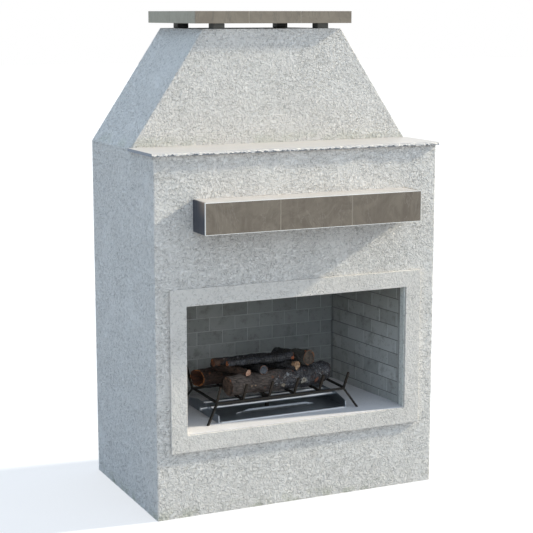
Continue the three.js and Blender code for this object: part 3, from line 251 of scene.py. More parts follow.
# %% A new material
class Finish:
    """One material: its tree, its surface shader and the place that patterns read."""

    def __init__(self, name, roughness=0.5, metallic=0.0):
        self.material = bpy.data.materials.new(name)
        self.material.use_nodes = True
        self.tree = self.material.node_tree
        self.shader = self.tree.nodes["Principled BSDF"]
        self.place = Value(put(self.tree, "ShaderNodeTexCoord").outputs["Object"])
        self.set(Roughness=roughness, Metallic=metallic)

    def set(self, **inputs):
        for key, value in inputs.items():
            feed(self.shader.inputs[key.replace("_", " ")], value)

    def own(self, name, output="Fac"):
        """A number or vector stored with the mesh."""
        node = put(self.tree, "ShaderNodeAttribute", attribute_name=name)
        return Value(node.outputs[output])

    def use(self, group, **inputs):
        node = put(self.tree, "ShaderNodeGroup", node_tree=group)
        for key, value in {"Place": self.place, **inputs}.items():
            feed(node.inputs[key], value)
        return [Value(socket) for socket in node.outputs]

    def clouds(self, size, contrast):
        return self.use(clouds_group, Size=size, Contrast=contrast)[0]

    def grain(self, size):
        """Fine grain and sparse pits."""
        return self.use(grain_group, Size=size)

    def brushed(self, lines_wide, length=0.02):
        return self.use(brush_group, Lines=lines_wide, Length=length)[0]

    def paint(self, share, *colours):
        """Mixes two colours by a share, or lays one over what is painted already."""
        self.base = share.mix(*colours) if len(colours) == 2 else share.mix(self.base, *colours)
        self.set(Base_Color=self.base)

    def bump(self, height, depth, strength=1.0):
        self.set(Normal=put(self.tree, "ShaderNodeBump", {
            "Height": height, "Distance": depth, "Strength": strength,
        }))


def brushed_metal(name, roughness, metallic, scratches, dark, light, strength=0.4):
    """Metal with fine lines; scratches are how many lie side by side, and how long they are."""
    metal = Finish(name, roughness, metallic)
    metal.fibres = metal.brushed(*scratches)
    metal.paint(metal.fibres, dark, light)
    metal.bump(metal.fibres, 0.0002, strength)
    return metal


def mottled(name, roughness, metallic, clouds, dark, light, size, depth, strength, *pitted):
    """Two colours in clouds, with grain of a size; pitted is the share and colour of its pits."""
    finish = Finish(name, roughness, metallic)
    finish.paint(finish.clouds(*clouds), dark, light)
    grain, pits = finish.grain(size)
    if pitted:
        finish.paint(pits * pitted[0], pitted[1])
    finish.bump(grain, depth, strength)
    return finish


def dress(finish, *names):
    for name in names:
        for material_slot in nodes[name].material_slots:
            material_slot.material = finish.material


print("materials can now be made")

# %% [markdown]
# ## Stucco: one pattern for the shape and for the colour
# The walls are coated by hand with a coarse stucco. The trowel knocks down the tips, so the
# coat is a field of flat crumbs with ragged hollows and short curved creases between them,
# rougher in some patches than in others. The slow swell of the coat is real relief, about a
# millimetre deep, because a bump map alone would leave the walls ruler-flat at their corners.
# The crumbs and creases are only a few millimetres wide, so they are left to the material: a
# node group makes them as a height for the bump, and hands out the creases as a mask. The
# material paints shade into the creases, and more faintly into the hollows, so their colour is
# a little darker there. The lamp rakes across the wall, so a small change of slope is enough to
# show.

# %% The stucco pattern and its material
bend = 1.772  # the height where the walls end and the chimney starts to lean in


def stucco_swell(place):
    """The slow relief of the coat: 1 on the plates, 0 in the hollows between them."""
    plates = place.noise(44.0, 2.5, 0.6, 0.8).ramp(0.36, 0.60)
    patches = place.noise(5.0, 2.0).ramp(0.38, 0.62, 0.3, 1.0)
    return (1.0 - (1.0 - plates) * patches).clamped()


trowel_group, given, made = new_tree(
    "trowel_marks", "Shader", {"Size": 90.0, "Cover": 0.5}, "Height", "Creases")
at, size = given["Place"], given["Size"]
edge = 0.70 - given["Cover"] * 0.4
patches = at.noise(6.0, 3.0).ramp(edge, edge + 0.22, 0.74, 1.0)
crumbs = at.noise(size, 2.0, 0.6, 0.7).ramp(0.34, 0.62)
wander = at.noise(size * 0.56, 1.2, 0.5, 1.0)
broken = at.noise(size * 0.75, 0.5).ramp(0.42, 0.54)
creases = abs(wander - 0.5).ramp(0.046, 0.010) * broken * patches
hollows = (1.0 - crumbs) * patches
feed(made["Height"], 1.0 - (hollows * 0.68 + creases * 0.32))
feed(made["Creases"], creases)


def plaster(name, light, dark, cover, depth, roughness=0.9):
    """Cement plaster: trowel marks in patches with painted shade in their hollows and creases, fine
    sand, and damp green at foot and bend.
    """
    finish = Finish(name, roughness)
    height, creases = finish.use(trowel_group, Cover=cover)
    finish.paint(finish.clouds(1.6, 0.9), light, dark)
    # painted shade: the hollows and creases of the trowel marks are darkened a little
    finish.paint((1.0 - height) * 0.12, (158, 152, 144))
    finish.paint(creases * 0.36, (134, 130, 124))
    up = finish.place.xyz()[2]
    foot = up.ramp(0.07, 0.005) * finish.place.noise(14.0, 3.0).ramp(0.45, 0.65, 0, 0.4)
    finish.paint(foot, (172, 176, 146))
    damp = up.ramp(bend + 0.078, bend + 0.013) * up.ramp(bend, bend + 0.010)
    damp = damp * finish.place.noise(9.0, 3.0).ramp(0.42, 0.62, 0, 0.26)
    finish.paint(damp, (186, 190, 160))
    finish.bump(height + finish.grain(420.0)[0] * 0.25, depth)
    return finish


stucco = plaster("trowelled_stucco", (245, 239, 232), (238, 233, 227), 1.0, 0.0074)
print("stucco material:", len(stucco.tree.nodes), "nodes")

# %% [markdown]
# ## Stucco coats
# Each wall's coat is a closed sheet with a fine grid on its outer side. The front and back
# sheets wrap round the corners of the house-shaped box, where the trowel leaves a rounded
# edge, and the side sheets meet them there. A Geometry Nodes tree then presses the
# pattern into the outer side. It only presses inwards, so the walls stay inside their sizes.


# %% Closed sheets from two grids
def open_mesh(mesh):
    shell = bmesh.new()
    shell.from_mesh(mesh)
    return shell


def close_mesh(shell, mesh):
    shell.to_mesh(mesh)
    shell.free()


def face_out(mesh):
    shell = open_mesh(mesh)
    bmesh.ops.recalc_face_normals(shell, faces=shell.faces)
    close_mesh(shell, mesh)


def new_piece(name, points, faces=(), **levels):
    """A piece from points and faces; levels are numbers stored at its points."""
    mesh = bpy.data.meshes.new(name)
    mesh.from_pydata(points, [], faces)
    for key, values in levels.items():
        stored = mesh.attributes.new(key, "FLOAT", "POINT").data
        stored.foreach_set("value", np.ravel(values).astype(np.float32))
    return add(name, mesh)


def sheet(name, outer, inner, keep=None):
    """A closed mesh between two grids of points; cells where keep is false are left open."""
    rows, columns = outer.shape[:2]
    keep = np.ones((rows - 1, columns - 1), bool) if keep is None else keep
    points = np.concatenate([outer.reshape(-1, 3), inner.reshape(-1, 3)])
    far = rows * columns
    skin = np.repeat([1.0, 0.0], far)
    index = np.arange(far).reshape(rows, columns)
    quads = []
    for r, c in zip(*np.nonzero(keep)):
        a, b, d, e = index[r, c], index[r, c + 1], index[r + 1, c + 1], index[r + 1, c]
        quads += [(a, b, d, e), (e + far, d + far, b + far, a + far)]
        edges = (
            ((r - 1, c), a, b), ((r, c + 1), b, d), ((r + 1, c), d, e), ((r, c - 1), e, a),
        )
        for (nr, nc), p, q in edges:
            inside = 0 <= nr < rows - 1 and 0 <= nc < columns - 1 and keep[nr, nc]
            if not inside:
                quads.append((q, p, p + far, q + far))
    _, first, same = np.unique(
        np.round(points, 6), axis=0, return_index=True, return_inverse=True,
    )
    same = same.reshape(-1)
    rings = [list(dict.fromkeys(same[list(quad)].tolist())) for quad in quads]
    faces = [ring for ring in rings if len(ring) > 2]
    used = np.unique(np.concatenate(faces))
    renumber = np.full(len(first), -1)
    renumber[used] = np.arange(len(used))
    piece = new_piece(name, points[first][used].tolist(), [renumber[f].tolist() for f in faces],
                      skin=skin[first][used])
    face_out(piece.data)
    return piece


def lines(stops, cell_size):
    """Grid lines that pass exactly through every stop, about a cell apart."""
    out = [stops[0]]
    for low, high in zip(stops, stops[1:]):
        steps = max(1, round((high - low) / cell_size))
        out += [low + (high - low) * (i + 1) / steps for i in range(steps)]
    return np.array(out)


print("a metre in cells of 30 cm:", lines([0, 1], 0.3).round(3))


# %% The Geometry Nodes tree for relief
def stored(tree, name, kind="FLOAT"):
    node = put(tree, "GeometryNodeInputNamedAttribute", {"Name": name}, data_type=kind)
    return Value(node.outputs[0])


def painted(tree, geometry, material):
    return put(tree, "GeometryNodeSetMaterial", {"Geometry": geometry, "Material": material})


def realised(tree, geometry, material):
    real = put(tree, "GeometryNodeRealizeInstances", {"Geometry": geometry})
    return painted(tree, real, material)


def relief_tree(name, height_of):
    """Presses a piece in along its normals, by Depth where the height is 0 and the skin is 1."""
    tree, given, made = new_tree(
        name, "Geometry", {"Depth": 0.003, "Rise": 0.0, "Material": "Material"})
    reach = (height_of(tree) - (1.0 - given["Rise"])) * given["Depth"] * stored(tree, "skin")
    offset = put(tree, "ShaderNodeVectorMath", {
        0: put(tree, "GeometryNodeInputNormal"), "Scale": reach,
    }, operation="SCALE")
    moved = put(tree, "GeometryNodeSetPosition", {
        "Geometry": given["Geometry"], "Offset": offset,
    })
    feed(made[0], realised(tree, moved, given["Material"]))
    return tree


def keep_result(piece):
    """Keeps what the modifiers make of a piece as its plain mesh."""
    piece.update_tag()
    bpy.context.view_layer.update()
    done = piece.evaluated_get(bpy.context.evaluated_depsgraph_get())
    old, mesh = piece.data, bpy.data.meshes.new_from_object(done)
    piece.modifiers.clear()
    piece.data = mesh
    bpy.data.meshes.remove(old)
    mesh.name = piece.name


def run_nodes(piece, tree, **inputs):
    """Runs a Geometry Nodes tree on a piece, with its inputs by name."""
    modifier = piece.modifiers.new("nodes", "NODES")
    modifier.node_group = tree
    sockets = {
        item.name: item.identifier for item in tree.interface.items_tree
        if item.in_out == "INPUT"
    }
    for key, value in inputs.items():
        modifier[sockets[key.replace("_", " ").capitalize()]] = value
    keep_result(piece)


def smooth(piece, angle=180):
    piece.data.polygons.foreach_set("use_smooth", [True] * len(piece.data.polygons))
    if angle < 180:
        piece.data.set_sharp_from_angle(angle=math.radians(angle))


def settle(piece, body, slot, *replaced):
    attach(piece, body)
    if replaced:
        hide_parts(*replaced)
    return piece


stucco_tree = relief_tree("stucco_coat", lambda tree: stucco_swell(
    Value(put(tree, "GeometryNodeInputPosition").outputs[0])))
print("relief tree:", len(stucco_tree.nodes), "nodes")

# %% [markdown]
# ## The eight walls
# All sizes are read from the solid walls. Where the chimney leans in, the half width follows
# the height, so the grid's columns lean with the wall. The opening and the small rear door
# are cells left out of the grid.

# %% Front, back and side walls
arris = 0.0035  # the radius that the trowel leaves at a corner
cell = 0.0085
gap = 0.0003  # keeps faces that would meet a hair apart
swell = 0.0009  # how deep the coat's slow relief is
slack = 0.0004  # keeps the coat's rear side clear of what stands behind the wall
front_low, front_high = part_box("front_panel")
back_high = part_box("back_panel")[1]
chimney_low, chimney_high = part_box("chimney_front")
half = front_high.x
wall = front_high.y - front_low.y
top_half = 0.378
top = chimney_high.z


def half_at(z):
    return half if z <= bend else half + (top_half - half) * (z - bend) / (top - bend)


def coated(name, node, outer, inner, keep=None):
    piece = sheet(name, outer, inner, keep)
    run_nodes(piece, stucco_tree, Depth=swell, Material=stucco.material)
    smooth(piece, 50)
    return settle(piece, "fireplace", "stucco", node)


def coat(name, node, y, inward, rows, stops, hole=None):
    """A wall with wrapped corners; inward is the direction from its face into the wall."""
    turns = [math.radians(a) for a in (0, 22.5, 45, 67.5)]
    ends = [(0.0, d) for d in lines([wall, arris], cell)[:-1]]
    ends += [(arris * (1 - math.cos(a)), arris * (1 - math.sin(a))) for a in turns]
    across = lines([stops[0] + arris, *stops[1:-1], stops[-1] - arris], cell)
    outer = np.zeros((len(rows), len(ends) * 2 + len(across), 3))
    inner = np.zeros_like(outer)
    for r, z in enumerate(rows):
        width = half_at(z)
        left = [(-width + dx, d) for dx, d in ends]
        middle = [(x if hole else x * (width - arris) / (half - arris), 0.0) for x in across]
        right = [(width - dx, d) for dx, d in reversed(ends)]
        for c, (x, d) in enumerate(left + middle + right):
            limit = width - wall
            outer[r, c] = (x, y + inward * d, z)
            inner[r, c] = (max(-limit, min(limit, x)), y + inward * (wall - slack), z)
    keep = None
    if hole:
        (x0, z0), (x1, z1) = hole
        mid_x = (outer[0, 1:, 0] + outer[0, :-1, 0]) / 2
        mid_z = (rows[1:] + rows[:-1]) / 2
        keep = ~(((mid_x > x0) & (mid_x < x1))[None, :] & ((mid_z > z0) & (mid_z < z1))[:, None])
    return coated(name, node, outer, inner, keep)


liner_low, liner_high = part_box("opening_liner")
slab_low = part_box("hearth_slab")[0]
mouth = ((liner_low.x - gap, slab_low.z - gap), (liner_high.x + gap, liner_high.z + gap))
door_low, door_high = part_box("service_door")
sleeve = 0.186  # half the width of the hole behind the rear door's frame
door_rim = 0.014
doorway = ((-sleeve, door_low.z + door_rim), (sleeve, door_high.z - door_rim))
front_wall = coat(
    "stucco_front", "front_panel", front_low.y, 1,
    lines([0, mouth[0][1], mouth[1][1], front_high.z], cell),
    [-half, mouth[0][0], mouth[1][0], half], mouth,
)
back_wall = coat(
    "stucco_back", "back_panel", back_high.y, -1,
    lines([0, doorway[0][1], doorway[1][1], back_high.z], cell * 1.15),
    [-half, doorway[0][0], doorway[1][0], half], doorway,
)
print("front wall:", len(front_wall.data.polygons), "faces, back:", len(back_wall.data.polygons))


# %% Chimney front and back, and the four side walls
def side_coat(name, node, side, rows):
    node_low, node_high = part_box(node)
    depths = lines([node_low.y - gap, node_high.y + gap], cell)
    outer = np.zeros((len(rows), len(depths), 3))
    outer[:, :, 1] = depths
    outer[:, :, 2] = rows[:, None]
    inner = outer.copy()
    for r, z in enumerate(rows):
        outer[r, :, 0] = side * half_at(z)
        thick = wall * (1.0 if z <= bend else 1.2)  # measured level, a slanted wall is thicker
        inner[r, :, 0] = side * (half_at(z) - thick + slack)
    coated(name, node, outer, inner)


chimney_rows = lines([chimney_low.z, bend, top], cell)
coat("stucco_chimney_front", "chimney_front", chimney_low.y, 1, chimney_rows, [-half, half])
coat("stucco_chimney_back", "chimney_back", back_high.y, -1, chimney_rows, [-half, half])
body_rows = lines([0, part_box("left_panel")[1].z], cell)
for side, word in ((-1, "left"), (1, "right")):
    side_coat(f"stucco_{word}", f"{word}_panel", side, body_rows)
    side_coat(f"stucco_chimney_{word}", f"chimney_{word}", side, chimney_rows)
coats = [piece for piece in scene.objects if piece.name.startswith("stucco")]
print("stucco faces:", sum(len(piece.data.polygons) for piece in coats))

# %% [markdown]
# ## Pieces with softened edges
# Nothing that is cast, cut or folded has a knife edge, and the thin highlight along an edge is
# what tells the eye how thick a piece is. The solid model's edges are sharp, so such pieces are
# copied from it, their flat faces merged, and their edges rounded by a millimetre or so.


# %% Softened copies of solid pieces
def welded(node):
    """A copy of a solid piece's mesh, opened, with corners closer than 0.02 mm made one."""
    mesh = nodes[node].data.copy()
    shell = open_mesh(mesh)
    bmesh.ops.remove_doubles(shell, verts=shell.verts, dist=0.00002)
    return mesh, shell


def softened(node, width, finish, slot, body="fireplace", segments=2, round_form=False):
    mesh, shell = welded(node)
    mesh.name = "soft_" + node
    bmesh.ops.dissolve_limit(
        shell, angle_limit=math.radians(0.7), verts=shell.verts, edges=shell.edges,
    )
    limit = math.radians(50 if round_form else 28)
    sharp = [e for e in shell.edges if e.is_manifold and e.calc_face_angle(0) > limit]
    bmesh.ops.bevel(
        shell, geom=sharp, offset=width, segments=segments, profile=0.5, affect="EDGES",
        clamp_overlap=True,
    )
    close_mesh(shell, mesh)
    mesh.materials.clear()
    mesh.materials.append(finish.material)
    piece = add("soft_" + node, mesh)
    if round_form:
        smooth(piece, 35)
    return settle(piece, body, slot, node)


print("solid pieces can be softened")

# %% [markdown]
# ## Smooth stucco: the surround and the liner of the opening
# The band round the opening is the same plaster, floated smoother, so it takes the same node
# group with less of it covered by rough patches and a shallower bump. The solid band is a
# little thicker than the lamp's shadow under the real one suggests, so the copy is pressed
# closer to the wall and set a few millimetres lower and to the right, which keeps its edges
# where the picture shows them.

# %% Surround and liner
floated = plaster("floated_stucco", (231, 224, 216), (221, 215, 208), 0.6, 0.0034, 0.85)
surround = softened("opening_surround", 0.0025, floated, "smooth_stucco", segments=3)
wall_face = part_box("opening_surround")[1].y
thinner, rightwards, downwards = 0.45, 0.004, 0.003
for v in surround.data.vertices:
    v.co.y = wall_face + (v.co.y - wall_face) * thinner
    v.co.x += rightwards
    v.co.z -= downwards
surround.data.update()
jamb = plaster("rough_jamb_stucco", (240, 240, 232), (224, 226, 220), 1.0, 0.004, 0.85)
softened("opening_liner", 0.0015, jamb, "smooth_stucco")
print("surround and liner are floated")

# %% [markdown]
# ## The ledge and its broken edge
# A thin slab of pale stone lies over the front of the box. Its top is honed and its front edge
# is snapped, so that the edge runs in and out and its face is rough. The slab is a grid
# that is fine near the front only. The front line and the face are pushed about by noise.

# %% Ledge stone
ledge_low, ledge_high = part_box("ledge_slab")
stone = Finish("honed_ledge_stone", roughness=0.38)
stone.paint(stone.clouds(2.5, 1.2), (202, 195, 190), (192, 185, 180))
veins = stone.place.stretched(3, 14, 14).noise(2.0, 4, 0.6)
stone.paint(veins.ramp(0.5, 0.75, 0, 0.35), (182, 175, 170))
across, _, up = stone.place.xyz()
# painted shade: the snapped face is blue-grey below a ragged line, where its notches are, and cream
# above it
low_part = up + stone.place.noise(62, 3) * 0.028
snapped = low_part.ramp(ledge_low.z + 0.0172, ledge_low.z + 0.0192).mix(
    (112, 116, 122), (240, 232, 224))
broken = stone.own("broken")
stone.paint(broken, snapped)
# painted shade along the sawn left end of the slab
sawn_end_shade = across.ramp(ledge_low.x + 0.0012, ledge_low.x + 0.0004)
stone.paint(sawn_end_shade, (104, 116, 130))
stone.set(Roughness=broken.maths("MULTIPLY_ADD", 0.45, 0.36))
stone.bump(broken * stone.place.noise(130, 3), 0.002)
print("ledge material:", len(stone.tree.nodes), "nodes")


# %% Ledge slab
def smooth_noise(x, seed, scale):
    """A repeatable one-dimensional noise between 0 and 1."""
    table = np.random.default_rng(seed).random(4096)
    place = x * scale + 2048
    low = np.floor(place).astype(int)
    share = place - low
    share = share * share * (3 - 2 * share)
    return table[low % 4096] * (1 - share) + table[(low + 1) % 4096] * share


def make_ledge():
    """Rows of points along the slab, round its section: over the top, down the face, back under."""
    xs = lines([ledge_low.x, ledge_high.x], 0.004)
    bite = smooth_noise(xs, 3, 34) * 0.6 + smooth_noise(xs, 5, 110) * 0.4
    chips = np.clip(smooth_noise(xs, 8, 22) - 0.62, 0, 1) * 2.2
    front = ledge_low.y + 0.0052 + 0.004 * bite + 0.005 * chips
    front[xs < ledge_low.x + 0.004] = ledge_low.y + 0.008
    shares = [0, 0.0012, 0.003, 0.006, 0.011, 0.02, 0.05, 0.12, 0.22]
    loop = [(s, 1) for s in reversed(shares)] + [(None, f) for f in (0.75, 0.5, 0.25)]
    loop += [(s, 0) for s in shares]
    points = np.zeros((len(loop), len(xs), 3))
    skin = np.zeros((len(loop), len(xs)))
    for r, (share, level) in enumerate(loop):
        depth, up = points[r, :, 1], points[r, :, 2]
        points[r, :, 0] = xs
        up[:] = ledge_low.z + (ledge_high.z - ledge_low.z) * level
        if share is None:
            wave = smooth_noise(xs, 20 + r, 160) * 0.0045 + smooth_noise(xs, 40 + r, 60) * 0.003
            depth[:] = front - 0.001 + wave * 0.7
            skin[r] = 1
        elif share:
            depth[:] = front + (ledge_high.y - front) * (share / shares[-1])
            skin[r] = 0.35 if share < 0.002 else 0
        else:
            depth[:] = front + (0.002 if level else 0.001)
            up -= 0.0012 * smooth_noise(xs, 60, 90) * (1 if level else -1)
            skin[r] = 0.9
    points[:, :, 1] = np.maximum(points[:, :, 1], ledge_low.y + 0.0002)
    index = np.arange(skin.size).reshape(skin.shape).tolist()
    faces = []
    for row, following in zip(index, index[1:] + index[:1]):
        faces += zip(row, row[1:], following[1:], following)
    faces += [[row[0] for row in index], [row[-1] for row in index[::-1]]]
    piece = new_piece("ledge_stone_slab", points.reshape(-1, 3).tolist(), faces, broken=skin)
    face_out(piece.data)
    piece.data.materials.append(stone.material)
    return settle(piece, "fireplace", "ledge_stone", "ledge_slab")


ledge = make_ledge()
print("ledge:", len(ledge.data.polygons), "faces")

# %% [markdown]
# ## Tiles
# The mantel and the cap are clad in porcelain tiles that imitate stone. On the mantel's front
# the pattern runs upright in fine streaks with one paler vein here and there. On the cap it is
# cloudy, with short cracks. Each is noise in stretched coordinates, mixed between close colours.


# %% Tile materials
def stone_tile(name, dark, light, vein, grout=(), streaks=0.35):
    """Porcelain that imitates stone; grout lists where upright joints stand along X."""
    tile = Finish(name, roughness=0.45)
    place = tile.place
    fine = place.noise(330.0, 3, 0.7)
    upright = place.stretched(1, 1, 0.07).noise(75.0, 3, 0.65)
    wander = place.stretched(1, 1, 0.35).noise(5.0, 5, 0.7, 1.4)
    tile.paint(place.noise(9.0, 6, 0.68, 1.1).ramp(0.36, 0.64), dark, light)
    tile.paint(upright.ramp(0.42, 0.66, 0, streaks), light)
    tile.paint(fine.ramp(0.56, 0.72, 0, 0.45), dark)
    tile.paint(abs(wander - 0.5).ramp(0.014, 0.0, 0, 0.45), vein)
    if grout:
        across, joints = place.xyz()[0], 0.0
        for x in grout:
            joints = abs(across - x).ramp(0.0022, 0.0013).maths("MAXIMUM", joints)
        tile.paint(joints, (196, 184, 168))
    tile.set(Roughness=fine.ramp(0.2, 0.8, 0.38, 0.54))
    tile.bump(fine, 0.0002, 0.6)
    return tile


def seams(kind):
    """The middle of each upright joint between the three front tiles."""
    boxes = [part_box(f"{kind}_front_tile_{number}") for number in (1, 2, 3)]
    return [(left[1].x + right[0].x) / 2 for left, right in zip(boxes, boxes[1:])]


mantel_tile = stone_tile("mantel_porcelain", (105, 94, 82), (125, 114, 100), (144, 134, 122),
                         seams("mantel"))
cap_tile = stone_tile("cap_porcelain", (126, 115, 102), (141, 130, 115), (102, 96, 88),
                      seams("cap"), 0.1)
# painted light: the cap's side tiles are a lighter, greener copy of the cap porcelain, lightened
# for how the sides look in shade
side_tile_painted_light = stone_tile("cap_side_porcelain", (140, 136, 120), (150, 146, 130), (126, 124, 114),
                       streaks=0.1)
pale_tile = stone_tile("pale_porcelain", (190, 182, 176), (200, 193, 188), (180, 172, 166))
print("upright joints of the mantel at", [round(x, 3) for x in seams("mantel")])

# %% The mantel's end tile, and the tiles themselves
# painted shade: the mantel's left end gets a dark copy of the mantel porcelain, because that end
# stands in shade
shaded_end_tile = Finish("dark_end_porcelain", roughness=0.4)
upright = shaded_end_tile.place.stretched(1, 1, 0.07).noise(90.0, 3, 0.6)
shaded_end_tile.paint(upright.ramp(0.35, 0.65), (42, 47, 58), (60, 64, 74))
_, back, up = shaded_end_tile.place.xyz()
# painted reflection: lighter brown towards the top front corner of the end tile
shaded_end_tile.paint(up.ramp(1.46, 1.56) * back.ramp(-0.44, -0.545), (140, 122, 108))
shaded_end_tile.bump(upright, 0.0002, 0.6)

for number in (1, 2, 3):
    softened(f"mantel_front_tile_{number}", 0.0006, mantel_tile, "dark_tile")
    softened(f"cap_front_tile_{number}", 0.0008, cap_tile, "dark_tile")
softened("mantel_left_tile", 0.0008, shaded_end_tile, "dark_tile")
softened("mantel_right_tile", 0.0008, mantel_tile, "dark_tile")
softened("mantel_bottom_tile", 0.0008, mantel_tile, "dark_tile")
softened("mantel_top_tile", 0.0008, pale_tile, "pale_tile")
softened("cap_side_tiles", 0.0004, side_tile_painted_light, "dark_tile")
softened("cap_top_tiles", 0.0004, pale_tile, "pale_tile")
print("tiles are set")

# %% [markdown]
# ## Metal trims and posts
# A square aluminium profile edges the mantel's front. It is satin and pale, so it reads as a thin
# light line. The cap stands on four short posts of painted steel tube, dark and a little dusty.

# %% Trim, posts and boards
trim = brushed_metal("satin_aluminium", 0.32, 0.55, [700.0], (226, 226, 224), (244, 243, 241))
softened("mantel_trim", 0.0005, trim, "edge_trim")

post_paint = mottled("dark_post_paint", 0.6, 0.0, (22.0, 1.4), (78, 76, 70), (104, 103, 98),
                     700.0, 0.0003, 0.5)
for row in ("front", "back"):
    for side in ("left", "right"):
        softened(f"cap_post_{row}_{side}", 0.0025, post_paint, "dark_post", segments=3)

board = mottled("cement_board", 0.9, 0.0, (6.0, 1.0), (176, 173, 166), (192, 190, 184),
                260.0, 0.0008, 0.6, 0.6, (140, 136, 128))
dress(board, "body_deck", "chimney_crown", "cap_core", "mantel_core")
print("trim, posts and boards are dressed")

# %% [markdown]
# ## Brick lining
# The firebox is lined with refractory panels cast in a brick pattern: long, low blocks in
# running bond with tight, paler joints. A Geometry Nodes tree lays the bricks of one panel. It
# shifts every other course by half a brick, trims the bricks at both ends and at the top, and
# gives each its own tone and a slight step forwards or back. One tree serves all three panels.

# %% One brick and the two lining materials
brick_length, course, joint = 0.1472, 0.0726, 0.0042  # with one joint each, and the joint
first_course = 0.0418  # the height of the lowest joint above the panel's foot
brick_depth = 0.008
bevel = 0.0018


def make_brick():
    shell = bmesh.new()
    bmesh.ops.create_cube(shell, size=1.0)
    for v in shell.verts:
        v.co.x *= brick_length - joint
        v.co.y = v.co.y * brick_depth + brick_depth / 2
        v.co.z *= course - joint
    front = [e for e in shell.edges if all(v.co.y < 0.001 for v in e.verts)]
    bmesh.ops.bevel(shell, geom=front, offset=bevel, segments=2, profile=0.6, affect="EDGES")
    mesh = bpy.data.meshes.new("one_brick")
    close_mesh(shell, mesh)
    return add("one_brick", mesh)


def painted_shade_low_right(place):
    """Painted shade on the back panel, deepest low down behind the right end of the fire."""
    across, back, up = place.xyz()
    panel_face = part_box("firebox_back")[0].y
    on_panel = back.ramp(panel_face - 0.03, panel_face - 0.01)
    return across.ramp(-0.25, 0.40, 0, 0.55) * on_panel * up.ramp(1.0, 0.72, 0.55, 1.0)


one_brick = make_brick()
fire_brick = Finish("refractory_brick", roughness=0.88)
place = fire_brick.place
fire_brick.paint(fire_brick.own("tone"), (150, 150, 146), (184, 184, 180))
fire_brick.paint(fire_brick.clouds(14.0, 1.5) * 0.55, (198, 198, 194))
fire_brick.paint(place.noise(17.0, 5, 0.72).ramp(0.50, 0.68, 0, 0.4), (104, 98, 86))
fire_brick.paint(place.xyz()[2].ramp(0.66, 1.04, 0, 0.45), (122, 119, 104))
# painted shade on the back panel, darkest low down on the right
fire_brick.paint(painted_shade_low_right(place), (96, 102, 104))
grain, pits = fire_brick.grain(190.0)
fire_brick.paint(pits * 0.4, (92, 90, 84))
fire_brick.bump(grain - pits, 0.0012, 0.8)


def mortar_finish(name, level):
    """Pale mortar; level is the share of painted shade in the level joints."""
    mortar = mottled(name, 0.95, 0.0, (30.0, 1.2), (196, 197, 194), (216, 216, 211),
                     400.0, 0.001, 0.8)
    up = mortar.place.xyz()[2]
    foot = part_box("firebox_back")[0].z
    phase = ((up - (foot + first_course - course / 2)) / course).maths("FRACT")
    level_joint_shade = abs(phase - 0.5).ramp(joint / course, joint / course * 0.6, 0, level)
    mortar.paint(level_joint_shade, (88, 86, 80))
    # painted shade on the back panel's mortar, as on its bricks
    mortar.paint(painted_shade_low_right(mortar.place), (118, 124, 126))
    return mortar


back_mortar = mortar_finish("back_mortar", 0.12)
side_mortar = mortar_finish("side_mortar", 0.8)
print("one brick:", len(one_brick.data.polygons), "faces")


